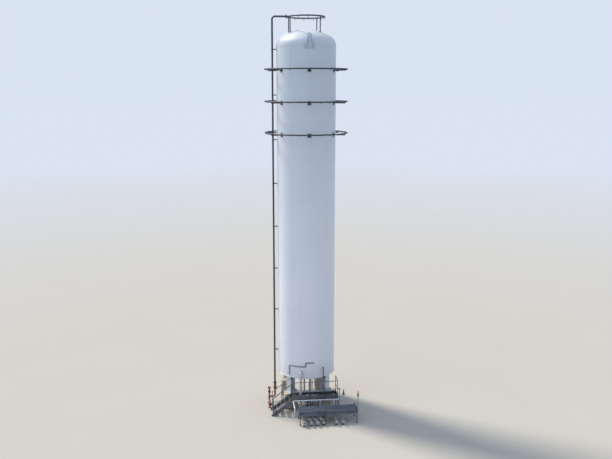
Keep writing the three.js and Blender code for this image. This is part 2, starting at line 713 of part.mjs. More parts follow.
// A stool that carries a low pipe: a foot plate and a post up to the pipe's belly.
function pipeStool(x, y, radius) {
  return [
    block(at(x - 75, y - 75, 0), at(x + 75, y + 75, 12)),
    block(at(x - 32, y - 32, 0), at(x + 32, y + 32, LOW_PIPE_Z - radius * 0.7)),
  ];
}

const NOZZLE_SEAT = NOZZLE_END - SEAT_GAP;
const FRONT_STOOL_Y = -4130;

// A line that hangs from a nozzle, turns forward low over the ground, and ends in a flange at the front.
function lowLine(x, radius, endY, bend) {
  return [
    pipe([at(x, NOZZLE_Y, NOZZLE_SEAT), at(x, NOZZLE_Y, LOW_PIPE_Z), at(x, endY, LOW_PIPE_Z)], radius, { bend }),
    flangeUp(at(x, NOZZLE_Y, NOZZLE_SEAT - 26), radius),
    flangeOut(at(x, endY, LOW_PIPE_Z), radius),
  ];
}

// The liquid line has its valve under the platform, with a line piece behind it and one before it.
function liquidOutlet() {
  const start = LIQUID_VALVE_BACK - LIQUID_VALVE_LENGTH - SEAT_GAP;
  return fuse(
    rod(at(LIQUID_X, start, LOW_PIPE_Z), at(LIQUID_X, PIPE_END_Y, LOW_PIPE_Z), LIQUID_RADIUS, 10),
    disc(at(LIQUID_X, start, LOW_PIPE_Z), at(0, -1, 0), LIQUID_RADIUS + 48, 28, 16),
    flangeOut(at(LIQUID_X, PIPE_END_Y, LOW_PIPE_Z), LIQUID_RADIUS),
    pipeStool(LIQUID_X, -2900, LIQUID_RADIUS),
    pipeStool(LIQUID_X, FRONT_STOOL_Y, LIQUID_RADIUS),
  );
}

// The fill line: low from the front, up through the deck's hole, and back into the shell.
function fillLine() {
  const top = 2640;
  const shellSpace = spin([[0, SKIRT_BOTTOM + 10], [SHELL_RADIUS + SEAT_GAP, SKIRT_BOTTOM + 10], [SHELL_RADIUS + SEAT_GAP, 3600], [0, 3600]]);
  const run = fuse(
    pipe(
      [at(FILL_X, PIPE_END_Y, LOW_PIPE_Z), at(FILL_X, FILL_UPRIGHT_Y, LOW_PIPE_Z), at(FILL_X, FILL_UPRIGHT_Y, top),
        at(FILL_X, -SHELL_RADIUS + 160, top)],
      FILL_RADIUS,
      { bend: 130 },
    ),
    flangeOut(at(FILL_X, PIPE_END_Y, LOW_PIPE_Z), FILL_RADIUS),
    disc(at(FILL_X, -SHELL_RADIUS + 30, top), at(0, 1, 0), FILL_RADIUS + 55, 60, 16),
    pipeStool(FILL_X, -2900, FILL_RADIUS),
    pipeStool(FILL_X, FRONT_STOOL_Y, FILL_RADIUS),
  );
  return carve(run, shellSpace);
}

// A relief valve on top of an upright pipe: a flange, a bonnet, a cap and a side outlet.
function reliefValve(foot, radius) {
  const up = at(0, 0, 1);
  return [
    disc(foot, up, radius + 40, 30),
    disc(foot, up, radius * 0.9, 230),
    disc(foot.clone().setZ(foot.z + 220), up, radius * 0.55, 110),
    disc(foot.clone().setZ(foot.z + 100), at(0, 1, 0), radius * 0.75, 120),
  ];
}

// The gas line: from the outlet manifold at the vaporizer's front left, back and along behind the rows to
// a vent at the right. One branch runs back under the platform to the tank and one to the front.
function gasLine() {
  const frontTube = VAPORIZER_BACK_TUBE - (TUBES_IN_ROW - 1) * TUBE_PITCH;
  const options = { bend: 90, sides: 8 };
  const rowEnds = Object.values(ROW_LEVELS).map((z) =>
    rod(at(MANIFOLD_LEFT_X, frontTube, z), at(VAPORIZER_LEFT - SEAT_GAP, frontTube, z), TUBE_RADIUS));
  return fuse(
    pipe(
      [at(MANIFOLD_LEFT_X, frontTube, 520), at(MANIFOLD_LEFT_X, frontTube, GAS_LEVEL),
        at(MANIFOLD_LEFT_X, GAS_Y, GAS_LEVEL), at(VENT_X, GAS_Y, GAS_LEVEL), at(VENT_X, GAS_Y, 1400)],
      GAS_RADIUS,
      options,
    ),
    pipe(
      [at(GAS_X, GAS_Y, GAS_LEVEL), at(GAS_X, GAS_Y, 640), at(GAS_X, NOZZLE_Y, 640), at(GAS_X, NOZZLE_Y, NOZZLE_SEAT)],
      GAS_RADIUS,
      options,
    ),
    pipe(
      [at(GAS_OUTLET_X, GAS_Y, GAS_LEVEL), at(GAS_OUTLET_X, GAS_Y, LOW_PIPE_Z), at(GAS_OUTLET_X, PIPE_END_Y,
        LOW_PIPE_Z)],
      GAS_RADIUS - 10,
      options,
    ),
    flangeUp(at(GAS_X, NOZZLE_Y, NOZZLE_SEAT - 26), GAS_RADIUS),
    flangeOut(at(GAS_OUTLET_X, PIPE_END_Y, LOW_PIPE_Z), GAS_RADIUS - 10),
    pipeStool(GAS_OUTLET_X, FRONT_STOOL_Y, GAS_RADIUS - 10),
    rowEnds,
    reliefValve(at(VENT_X, GAS_Y, 1390), GAS_RADIUS),
  );
}

// The liquid feed: down from the tank, forward and right under the platform, and up the inlet manifold.
function feedLine() {
  const turnY = -2860;
  const rowEnds = Object.values(ROW_LEVELS).map((z) =>
    rod(at(MANIFOLD_RIGHT_X, VAPORIZER_BACK_TUBE, z), at(VAPORIZER_RIGHT + SEAT_GAP, VAPORIZER_BACK_TUBE, z),
      TUBE_RADIUS));
  return fuse(
    pipe(
      [at(FEED_X, FEED_NOZZLE_Y, NOZZLE_SEAT), at(FEED_X, FEED_NOZZLE_Y, FEED_LEVEL), at(FEED_X, turnY, FEED_LEVEL),
        at(MANIFOLD_RIGHT_X, turnY, FEED_LEVEL), at(MANIFOLD_RIGHT_X, VAPORIZER_BACK_TUBE, FEED_LEVEL),
        at(MANIFOLD_RIGHT_X, VAPORIZER_BACK_TUBE, 1440)],
      FEED_RADIUS,
      { bend: 90, sides: 8 },
    ),
    flangeUp(at(FEED_X, FEED_NOZZLE_Y, NOZZLE_SEAT - 26), FEED_RADIUS),
    rowEnds,
    reliefValve(at(MANIFOLD_RIGHT_X, VAPORIZER_BACK_TUBE, 1430), FEED_RADIUS),
  );
}

// The drain line: a capped upright behind the vaporizer, clamped to the gas line, with its low run to the
// front.
function drainLine() {
  const clamp = carve(
    block(at(DRAIN_X - 30, GAS_Y - 80, GAS_LEVEL - 80), at(DRAIN_X + 30, DRAIN_Y + 10, GAS_LEVEL + 80)),
    disc(at(DRAIN_X - 100, GAS_Y, GAS_LEVEL), at(1, 0, 0), GAS_RADIUS + 2 * SEAT_GAP, 200, 32),
  );
  return fuse(
    clamp,
    pipe([at(DRAIN_X, DRAIN_Y, 1720), at(DRAIN_X, DRAIN_Y, LOW_PIPE_Z), at(DRAIN_X, PIPE_END_Y, LOW_PIPE_Z)],
      FEED_RADIUS, { bend: 90, sides: 8 }),
    disc(at(DRAIN_X, DRAIN_Y, 1690), at(0, 0, 1), FEED_RADIUS + 40, 40),
    flangeOut(at(DRAIN_X, PIPE_END_Y, LOW_PIPE_Z), FEED_RADIUS),
    pipeStool(DRAIN_X, FRONT_STOOL_Y, FEED_RADIUS),
  );
}

// The overflow line: out of the shell, down through the deck, a jog to the left low down, and out to the
// front.
function overflowLine() {
  const shellSpace = spin([[0, SKIRT_BOTTOM + 10], [SHELL_RADIUS + SEAT_GAP, SKIRT_BOTTOM + 10], [SHELL_RADIUS + SEAT_GAP, 3600], [0, 3600]]);
  const jog = OVERFLOW_UPRIGHT_Y - 600;
  const run = fuse(
    pipe(
      [at(OVERFLOW_X, -SHELL_RADIUS + 350, OVERFLOW_TOP), at(OVERFLOW_X, OVERFLOW_UPRIGHT_Y, OVERFLOW_TOP),
        at(OVERFLOW_X, OVERFLOW_UPRIGHT_Y, LOW_PIPE_Z), at(OVERFLOW_X, jog, LOW_PIPE_Z),
        at(OVERFLOW_END_X, jog, LOW_PIPE_Z), at(OVERFLOW_END_X, PIPE_END_Y, LOW_PIPE_Z)],
      OVERFLOW_RADIUS,
      { bend: 90, sides: 8 },
    ),
    disc(at(OVERFLOW_X, -SHELL_RADIUS + 170, OVERFLOW_TOP), at(0, 1, 0), OVERFLOW_RADIUS + 30, 120, 12),
    flangeOut(at(OVERFLOW_END_X, PIPE_END_Y, LOW_PIPE_Z), OVERFLOW_RADIUS),
    pipeStool(OVERFLOW_END_X, FRONT_STOOL_Y, OVERFLOW_RADIUS),
  );
  return carve(run, shellSpace);
}

// A small line clipped to the front of the shell: it leaves the shell low at the left, goes up, runs along,
// steps up and goes back in at the right.
function gaugeLine() {
  const radius = SHELL_RADIUS + 55;
  const [foot, low, high] = [2360, 2980, 3240];
  const [left, step, right] = [229, 263, 279];
  const route = [polar(SHELL_RADIUS - 60, left, foot), polar(radius, left, foot), polar(radius, left, low)];
  for (let degrees = left + 7; degrees < step - 3; degrees += 7) route.push(polar(radius, degrees, low));
  route.push(polar(radius, step, low), polar(radius, step, high), polar(radius, (step + right) / 2, high));
  route.push(polar(radius, right, high), polar(SHELL_RADIUS - 60, right, high));
  const clips = [[236, low], [250, low], [271, high]].map(([degrees, z]) =>
    turned(block(at(SHELL_RADIUS - 20, -20, z - 16), at(radius, 20, z + 16)), degrees));
  const shellSpace = spin([[0, SKIRT_BOTTOM + 10], [SHELL_RADIUS + SEAT_GAP, SKIRT_BOTTOM + 10], [SHELL_RADIUS + SEAT_GAP, 3600], [0, 3600]]);
  return carve(fuse(pipe(route, 24, { bend: 30, sides: 6, bendSteps: 1 }), clips), shellSpace);
}

SECTION_NAMES.forEach((name, i) =>
  add(name, shellSection(SKIRT_BOTTOM + i * SECTION_HEIGHT), whitePaint));
add("top_head", dishedHead(SHELL_RADIUS, HEAD_FLANGE).translate(0, 0, HEAD_SEAM), whitePaint);
add("bottom_head", bottomHead(), whitePaint);
add("base_ring", baseRing(), whitePaint);

const corners = { front_left: [-1, -1], front_right: [1, -1], back_right: [1, 1], back_left: [-1, 1] };
for (const [place, [sx, sy]] of Object.entries(corners)) {
  add(`leg_${place}`, leg(THREE.MathUtils.radToDeg(Math.atan2(sy, sx))), whitePaint);
  add(`pier_${place}`, pier(sx * LEG_OFFSET, sy * LEG_OFFSET), concrete);
}

add("lifting_lug_front", liftingLug(-90), whitePaint);
add("lifting_lug_back", liftingLug(90), whitePaint);
add("fill_port", fillPort(128, 22800), whitePaint);

add("deluge_supply", delugeSupply(DELUGE_VALVE_FOOT - SEAT_GAP), redPaint);
add(
  "deluge_valve",
  gateValve(DELUGE_VALVE_LENGTH, 112, 300)
    .rotateZ(-Math.PI / 2)
    .translate(RISER.x, RISER.y, DELUGE_VALVE_FOOT),
  redPaint,
);
add("deluge_riser", delugeRiser(DELUGE_VALVE_FOOT + DELUGE_VALVE_LENGTH + SEAT_GAP), galvanized);
for (const [name, z] of Object.entries(SPRAY_LEVELS)) add(name, sprayRing(z), galvanized);
add("top_spray_ring", topRing(), galvanized);

add("platform_frame", platformFrame(), greySteelPaint);
add("platform_deck", platformDeck(), darkSteel);
add("platform_railing", platformRailing(), greySteelPaint);
add("stair_flight", stairFlight(), greySteelPaint);
add("stair_rail_front", stairRail(DECK_FRONT, -1), greySteelPaint);
add("stair_rail_back", stairRail(DECK_BACK, 1), greySteelPaint);

for (const [name, z] of Object.entries(ROW_LEVELS)) add(name, vaporizerRow(z), finMetal);
add("vaporizer_frame_left", vaporizerFrame(VAPORIZER_LEFT + 40), darkSteel);
add("vaporizer_frame_middle", vaporizerMiddleFrame(730), darkSteel);
add("vaporizer_frame_right", vaporizerFrame(VAPORIZER_RIGHT - 90), darkSteel);

add("liquid_line", fuse(lowLine(LIQUID_X, LIQUID_RADIUS, LIQUID_VALVE_BACK + SEAT_GAP, 170)), cladding);
add(
  "liquid_valve",
  gateValve(LIQUID_VALVE_LENGTH, LIQUID_RADIUS + 48, 330)
    .rotateX(Math.PI / 2)
    .rotateY(-Math.PI / 2)
    .translate(LIQUID_X, LIQUID_VALVE_BACK, LOW_PIPE_Z),
  darkSteel,
);
add("liquid_outlet", liquidOutlet(), cladding);
add(
  "return_line",
  fuse(lowLine(RETURN_X, RETURN_RADIUS, PIPE_END_Y, 190), pipeStool(RETURN_X, -2900, RETURN_RADIUS),
    pipeStool(RETURN_X, FRONT_STOOL_Y, RETURN_RADIUS)),
  cladding,
);
add("fill_line", fillLine(), cladding);
add("vaporizer_gas_line", gasLine(), cladding);
add("vaporizer_feed_line", feedLine(), cladding);
add("drain_line", drainLine(), cladding);
add("overflow_line", overflowLine(), cladding);
add("gauge_line", gaugeLine(), whitePaint);

export default part;
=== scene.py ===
"""The finished look of a tall vertical tank for liquefied gas: its painted shell on four legs, the
spray-water pipework round it, the valve platform with its stair, and the vaporizer and pipes at its foot.

Metres, +Z up, front towards -Y. Places are given from the tank's own upright axis, through at().
"""
import math

import bmesh
import bpy
from bpy.props import FloatProperty, FloatVectorProperty, IntProperty, PointerProperty
from mathutils import Matrix, Vector


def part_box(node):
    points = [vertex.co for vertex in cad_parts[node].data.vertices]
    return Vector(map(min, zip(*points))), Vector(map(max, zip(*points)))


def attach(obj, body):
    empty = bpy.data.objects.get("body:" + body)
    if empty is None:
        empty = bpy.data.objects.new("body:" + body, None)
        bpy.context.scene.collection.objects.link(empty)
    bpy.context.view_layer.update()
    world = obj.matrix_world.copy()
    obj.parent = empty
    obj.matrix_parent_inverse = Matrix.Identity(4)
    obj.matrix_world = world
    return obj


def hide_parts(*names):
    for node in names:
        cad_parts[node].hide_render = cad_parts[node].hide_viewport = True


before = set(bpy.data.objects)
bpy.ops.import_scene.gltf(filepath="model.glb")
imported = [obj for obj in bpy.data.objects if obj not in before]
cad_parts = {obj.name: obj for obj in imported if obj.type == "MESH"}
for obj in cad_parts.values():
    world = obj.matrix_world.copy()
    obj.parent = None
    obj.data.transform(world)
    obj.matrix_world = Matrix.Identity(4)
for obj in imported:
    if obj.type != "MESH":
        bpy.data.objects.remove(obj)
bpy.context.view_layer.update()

bl_info = {
    "name": "Vertical cryogenic gas tank",
    "version": (1, 0, 0),
    "blender": (4, 5, 0),
    "location": "3D View > Sidebar > Gas tank",
    "description": "Builds the tank's visible pieces round its solids, with their materials and stage",
    "category": "Object",
}

LEFT, RIGHT = Vector((-1, 0, 0)), Vector((1, 0, 0))
FRONT, BACK = Vector((0, -1, 0)), Vector((0, 1, 0))
DOWN, UP = Vector((0, 0, -1)), Vector((0, 0, 1))

# Main places and sizes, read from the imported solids.
shell_foot, shell_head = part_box("shell_lower")
AXIS = Vector(((shell_foot.x + shell_head.x) / 2, (shell_foot.y + shell_head.y) / 2, 0))
SHELL_RADIUS = (shell_head.x - shell_foot.x) / 2
SKIRT_BOTTOM = shell_foot.z
HEAD_SEAM, HEAD_APEX = (corner.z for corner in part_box("top_head"))
RING_BOTTOM, RING_TOP = (corner.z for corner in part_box("base_ring"))
PIER_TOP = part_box("pier_front_left")[1].z
DECK_LEFT, DECK_FRONT, DECK_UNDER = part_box("platform_deck")[0] - AXIS
DECK_RIGHT, DECK_BACK, DECK_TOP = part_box("platform_deck")[1] - AXIS
WALL = 0.016
HEAD_RIM = HEAD_SEAM + 0.08
HEAD_DEPTH = HEAD_APEX - HEAD_RIM
LEG_DIAGONAL = 1.131 * math.sqrt(2)
SEAT_GAP = 0.0003
SEAT_RADIUS = SHELL_RADIUS + SEAT_GAP
PORT_DEGREES, PORT_LEVEL = 128, 22.8

# The spray water comes up a riser at the tank's left.
RISER = Vector((-2.09, -0.1, 0))
RISER_RADIUS = 0.057
WATER_FLANGE, WATER_FLANGE_THICK = 0.112, 0.026
SUPPLY_X, SUPPLY_END_Y, SUPPLY_LEVEL = -2.505, -1.45, 0.33
BRANCH_Y, BRANCH_RADIUS = -0.64, RISER_RADIUS - 0.006
VALVE_FOOT, VALVE_LENGTH = 0.9, 0.38
SPRAY_RADIUS = 0.0445
SPRAY_RING_RADIUS = 2.56
ARM_END = SPRAY_RING_RADIUS + 0.06
SPRAY_LEVELS = {"spray_ring_lower": 17.8, "spray_ring_middle": 19.74, "spray_ring_upper": 21.7}
TOP_RING_RADIUS, TOP_RING_LEVEL = 1.13, 24.83
TOP_RING_POSTS = (47, 155, 205, 313)
CROWN_JOINT_X = -TOP_RING_RADIUS - 0.1
CROWN_FLANGE, CROWN_FLANGE_THICK = 0.105, 0.024

RAIL_RADIUS = 0.021
RAIL_HEIGHT = 1.05
STAIR_FOOT_X = -2.43
STAIR_STEPS = 6

TUBES_LEFT, TUBES_RIGHT, TUBES_BACK = -0.87, 2.82, -3.16
TUBE_PITCH, TUBES_IN_ROW, TUBE_RADIUS = 0.168, 5, 0.02
TUBES_FRONT = TUBES_BACK - (TUBES_IN_ROW - 1) * TUBE_PITCH
FIN_REACH, FIN_BEAD = 0.082, 0.006
ROW_LEVELS = {"vaporizer_row_lower": 0.6, "vaporizer_row_upper": 0.78}

# Pipes below the tank: the place across it where each runs, and its radius.
PIPE_END_Y = -4.36
JACKET_END = PIPE_END_Y + 0.13
LOW_PIPE = 0.28
NOZZLE_SEAT = 2.1 - SEAT_GAP
NOZZLE_Y = -0.15
STOOL_BACK, STOOL_FRONT = -2.9, -4.13
COLD_RIM, COLD_FLANGE_THICK = 0.048, 0.028
FILL_X, FILL_RADIUS, FILL_UPRIGHT_Y, FILL_TOP = -0.56, 0.084, -1.96, 2.64
LIQUID_X, LIQUID_RADIUS, LIQUID_VALVE_Y, LIQUID_VALVE_LENGTH = -0.13, 0.057, -1.76, 0.36
RETURN_X, RETURN_RADIUS = 0.25, 0.066
GAS_X, GAS_RADIUS, GAS_LEVEL, GAS_Y = 0.64, 0.05, 1.06, -2.74
GAS_OUTLET_X, GAS_OUTLET_RADIUS, VENT_X, GAS_LEFT_X = 1.43, GAS_RADIUS - 0.01, 2.1, -1.13
FEED_X, FEED_Y, FEED_RADIUS, FEED_LEVEL, FEED_TURN_Y, FEED_RIGHT_X = 0.45, 0.35, 0.038, 0.42, -2.86, 2.96
DRAIN_X, DRAIN_Y = 1.85, -2.62
OVERFLOW_X, OVERFLOW_END_X, OVERFLOW_Y, OVERFLOW_TOP, OVERFLOW_RADIUS = 0.93, 0.63, -1.75, 2.8, 0.03


def at(x, y, z):
    """A place given from the tank's axis."""
    return AXIS + Vector((x, y, z))


def way_round(degrees):
    """The way out from the tank's axis at an angle measured from +X."""
    angle = math.radians(degrees)
    return Vector((math.cos(angle), math.sin(angle), 0))


def polar(radius, degrees, z):
    """A place round the tank."""
    return AXIS + way_round(degrees) * radius + UP * z


def shell_depth(offset):
    """How far from the tank's middle something seated on its shell lies, at an offset to the side."""
    return math.sqrt(SEAT_RADIUS ** 2 - offset ** 2)


def arc(x, y, radius, start, sweep, steps):
    """Points along an arc, with both its ends, as x, y pairs."""
    angles = [math.radians(start + sweep * i / steps) for i in range(steps + 1)]
    return [(x + radius * math.cos(a), y + radius * math.sin(a)) for a in angles]


def circle(radius, steps, x=0.0, y=0.0):
    """Corners of a circle, as x, y pairs."""
    return arc(x, y, radius, 0, 360, steps)[:-1]


def ring_of_points(radius, z, steps=120):
    """Corners of a level ring round the tank."""
    return [at(x, y, z) for x, y in circle(radius, steps)]


def standing(place, degrees=0.0):
    """Stands a flat outline up at a place, its thickness towards the front, and turns it round."""
    turn = Matrix.Rotation(math.radians(degrees), 4, "Z") @ Matrix.Rotation(math.radians(90), 4, "X")
    return Matrix.Translation(place) @ turn


def linear(code):
    """An sRGB colour code as linear red, green, blue and alpha."""
    levels = [int(code[i : i + 2], 16) / 255 for i in (1, 3, 5)]
    return (*(v / 12.92 if v <= 0.04045 else ((v + 0.055) / 1.055) ** 2.4 for v in levels), 1.0)


def put(tree, kind, inputs=None, **settings):
    """Adds a node to a tree, with its own settings, and gives back its first output. An input is a value
    or a socket to link from, three of them in brackets for a vector, or a list of sockets where it takes
    many."""
    made = tree.nodes.new(kind)
    for name, value in settings.items():
        setattr(made, name, value)
    for key, value in (inputs or {}).items():
        if isinstance(value, tuple) and any(isinstance(part, bpy.types.NodeSocket) for part in value):
            value = put(tree, "ShaderNodeCombineXYZ", dict(enumerate(value)))
        for source in value if isinstance(value, list) else [value]:
            if isinstance(source, bpy.types.NodeSocket):
                tree.links.new(source, made.inputs[key])
            else:
                made.inputs[key].default_value = source
    return made.outputs[0] if made.outputs else None


# Finishes


class Finish:
    """A material in the making: its tree, its shader, and the patterns that several finishes share."""

    def __init__(self, name, colour, roughness, metallic=0.0):
        self.material = bpy.data.materials.new(name)
        self.material.use_nodes = True
        self.material.diffuse_color = colour
        self.tree = self.material.node_tree
        self.shader = self.tree.nodes["Principled BSDF"]
        self.shader.inputs["Metallic"].default_value = metallic
        self.shader.inputs["Roughness"].default_value = roughness
        self.places = put(self.tree, "ShaderNodeTexCoord").node.outputs["Object"]
        self.colour = put(self.tree, "ShaderNodeRGB")
        self.colour.default_value = colour

    def cloud(self, size, detail=4.0, stretch=(1, 1, 1), rough=0.55):
        """Soft cloudy noise whose blotches are as wide as size, drawn out by stretch."""
        scale = tuple(1 / s for s in stretch)
        drawn = put(self.tree, "ShaderNodeMapping", {"Vector": self.places, "Scale": scale})
        inputs = {"Vector": drawn, "Scale": 1 / size, "Detail": detail, "Roughness": rough}
        return put(self.tree, "ShaderNodeTexNoise", inputs)

    def cells(self, size):
        """How far a point is from the middle of its cell, in cells as wide as size."""
        return put(self.tree, "ShaderNodeTexVoronoi", {"Vector": self.places, "Scale": 1 / size})

    def height(self, course=None):
        """How high a point is, or, where a course is given, how high in its own course of plate."""
        level = put(self.tree, "ShaderNodeSeparateXYZ", {0: self.places}).node.outputs[2]
        if course is None:
            return level
        inputs = {0: level, 1: SKIRT_BOTTOM + course, 2: SKIRT_BOTTOM}
        return put(self.tree, "ShaderNodeMath", inputs, operation="WRAP")

    def share(self, pattern, low, high, least=0.0, most=1.0, within=None):
        """How strongly a pattern shows: least up to low, most from high on, and as far as within allows."""
        inputs = {"Value": pattern, 1: low, 2: high, 3: least, 4: most}
        shown = put(self.tree, "ShaderNodeMapRange", inputs)
        if within is None:
            return shown
        return put(self.tree, "ShaderNodeMath", {0: shown, 1: within}, operation="MULTIPLY")

    def blend(self, share, colour):
        """Lays a colour over what is there, as strongly as share says."""
        inputs = {0: share, 6: self.colour, 7: colour}
        self.colour = put(self.tree, "ShaderNodeMix", inputs, data_type="RGBA").node.outputs[2]

    def stain(self, code, pattern, low, high, least=0.0, most=1.0, within=None):
        """Lays the colour of a code over what is there, as strongly as a pattern shows."""
        self.blend(self.share(pattern, low, high, least, most, within), linear(code))

    def done(self, sheen=None, relief=None, depth=0.0):
        """Ends the tree: roughness from sheen, and bumps whose tops stand depth over their lows."""
        self.tree.links.new(self.colour, self.shader.inputs["Base Color"])
        if sheen is not None:
            self.tree.links.new(sheen, self.shader.inputs["Roughness"])
        if relief is not None:
            inputs = {"Height": relief, "Distance": depth, "Strength": 1.0}
            self.tree.links.new(put(self.tree, "ShaderNodeBump", inputs), self.shader.inputs["Normal"])
        return self.material


def white_polyurethane(colour, course):
    """Two-pack white paint sprayed on rolled steel plate, some years outdoors: a soft gloss, faint rain
    runs here and there under the seams, and dust at the skirt."""
    paint = Finish("aged_white_polyurethane_paint", colour, 0.4)
    clouds = paint.cloud(1.7, 3, (1, 1, 1.8))
    paint.stain("#b4bac4", clouds, 0.35, 0.7, 0.0, 0.12)
    # Painted shade: the shell is darkened towards the top, where less light comes up off the ground.
    paint.stain("#a5b1bf", paint.height(), SKIRT_BOTTOM + 6, HEAD_SEAM, 0.0, 0.7)
    # Rain finds the same few ways down, so the runs keep to patches two metres wide.
    patches = paint.share(paint.cloud(2.1, 2, (1, 1, 1.5)), 0.42, 0.68)
    runs = paint.cloud(0.24, 5, (1, 1, 26))
    paint.stain("#a6abb2", runs, 0.5, 0.85, 0.0, 0.3, patches)
    low, high = SKIRT_BOTTOM + course * 0.55, SKIRT_BOTTOM + course
    below_seam = paint.share(paint.height(course), low, high, 0.0, 0.34, patches)
    paint.stain("#a09a90", paint.cloud(0.13, 3, (1, 1, 34)), 0.54, 0.78, within=below_seam)
    dust = paint.share(paint.height(), SKIRT_BOTTOM, SKIRT_BOTTOM + 1.1, 0.34, 0.0)
    paint.stain("#a39c90", runs, 0.3, 0.7, 0.3, 1.0, dust)
    # Rolled plate is never quite true: waves a metre wide and a few millimetres deep soften the gloss.
    return paint.done(paint.share(clouds, 0.3, 0.7, 0.34, 0.5), paint.cloud(0.9, 1.0, (1, 1, 1.6)), 0.005)


def zinc_coating(name, colour, spangle, rust):
    """Hot-dip galvanized steel gone dull outdoors: grey spangle, with rust where the zinc has worn."""
    zinc = Finish(name, colour, 0.5, 0.4)
    # Real spangle is 10 to 20 mm across, too fine to show here, so it is drawn 45 mm wide.
    zinc.stain("#8f96a0", zinc.cells(0.045), 0.1, 0.9, 0.0, spangle)
    grime = zinc.cloud(0.35, 6)
    zinc.stain("#3f4044", grime, 0.5, 0.75, 0.0, 0.4)
    zinc.stain("#6a4433", zinc.cloud(0.22, 7), 0.62, 0.75, 0.0, rust)
    return zinc.done(zinc.share(grime, 0.3, 0.7, 0.42, 0.65), zinc.cloud(0.02, 3), 0.0006)


def brushed_on_enamel(name, colour, worn, chalk):
    """Alkyd enamel brushed on steel outdoors: chalky where the sun falls, worn at the edges of blotches."""
    enamel = Finish(name, colour, 0.5)
    fade = enamel.cloud(0.5, 4)
    enamel.stain(chalk, fade, 0.35, 0.75, 0.0, 0.45)
    enamel.stain(worn, enamel.cloud(0.07, 8), 0.62, 0.68, 0.0, 0.7)
    return enamel.done(enamel.share(fade, 0.3, 0.7, 0.38, 0.62), enamel.cloud(0.03, 3, (1, 1, 4)), 0.0008)


def extruded_aluminium(colour):
    """Extruded aluminium fins that have stood in frost and rain: a dull blue-grey oxide with pale bloom
    and dark grime low between them."""
    metal = Finish("weathered_extruded_aluminium", colour, 0.5, 0.5)
    # Die lines run along the fins: a millimetre apart on the real ones, drawn 12 mm wide to show.
    lines = metal.cloud(0.012, 2, (60, 1, 1))
    metal.stain("#b3bbc6", lines, 0.4, 0.7, 0.0, 0.3)
    bloom = metal.cloud(0.3, 6, (4, 1, 1))
    metal.stain("#a9b1ba", bloom, 0.48, 0.72, 0.0, 0.5)
    metal.stain("#343a44", metal.cloud(0.5, 5, (1.5, 1, 1)), 0.5, 0.72, 0.0, 0.5)
    return metal.done(metal.share(bloom, 0.3, 0.7, 0.38, 0.6), lines, 0.0006)


def aluminium_jacket(colour):
    """Smooth aluminium sheet wrapped round pipe insulation: bright, slightly wavy, with dust on it."""
    sheet = Finish("aluminium_insulation_jacket", colour, 0.34, 0.45)
    dust = sheet.cloud(0.3, 6)
    sheet.stain("#9a9488", dust, 0.48, 0.75, 0.0, 0.4)
    return sheet.done(sheet.share(dust, 0.3, 0.7, 0.28, 0.5), sheet.cloud(0.12, 2), 0.004)


def pickled_stainless_steel(colour):
    """Forged stainless steel, pickled and left bare outdoors: an even matt grey with faint turning marks
    and a tea-coloured film here and there."""
    steel = Finish("pickled_stainless_steel", colour, 0.45, 0.7)
    film = steel.cloud(0.12, 5)
    steel.stain("#7d6f5f", film, 0.5, 0.72, 0.0, 0.35)
    steel.stain("#c3c7cc", steel.cloud(0.02, 3), 0.45, 0.7, 0.0, 0.3)
    return steel.done(steel.share(film, 0.3, 0.7, 0.35, 0.55), steel.cloud(0.008, 2), 0.0003)


def cast_concrete(colour):
    """Concrete cast in plywood forms: mottled, with small blow holes, and darker where rain runs and
    splashes."""
    stone = Finish("form_cast_concrete", colour, 0.85)
    mottle = stone.cloud(0.22, 8, rough=0.65)
    stone.stain("#c4bdb0", mottle, 0.35, 0.7, 0.0, 0.55)
    below_top = stone.share(stone.height(), PIER_TOP - 0.55, PIER_TOP, 0.1, 0.75)
    stone.stain("#6d675e", stone.cloud(0.07, 4, (1, 1, 12)), 0.48, 0.72, within=below_top)
    stone.stain("#6f685c", stone.height(), 0.0, 0.22, 0.6, 0.0)
    holes = stone.cells(0.05)
    # Painted shade: the blow holes are darkened where the bumps sink them into pits.
    stone.stain("#5f5a52", holes, 0.08, 0.2, 0.35, 0.0)
    pits = stone.share(holes, 0.08, 0.2, within=stone.share(mottle, 0.3, 0.7, 0.7))
    return stone.done(relief=pits, depth=0.004)


def zinc_plated_steel(colour):
    """Zinc-plated bolts and nuts, a little tarnished."""
    steel = Finish("zinc_plated_fasteners", colour, 0.42, 0.8)
    steel.stain("#6f5b4a", steel.cloud(0.08, 5), 0.5, 0.7, 0.0, 0.5)
    return steel.done(steel.share(steel.cloud(0.03, 3), 0.3, 0.7, 0.35, 0.55))


def studio_floor(colour, far_colour):
    """A matt pale floor, painted, faintly mottled by its roller; far off it takes the backdrop's colour."""
    floor = Finish("matt_floor_paint", colour, 0.95)
    floor.shader.inputs["Specular IOR Level"].default_value = 0.0
    floor.stain("#bfc0c0", floor.cloud(6.0, 4), 0.3, 0.7, 0.0, 0.05)
    away = put(floor.tree, "ShaderNodeVectorMath", {0: floor.places}, operation="LENGTH").node.outputs[1]
    floor.blend(floor.share(away, 22.0, 150.0), far_colour)
    return floor.done()


FINISHES = {}


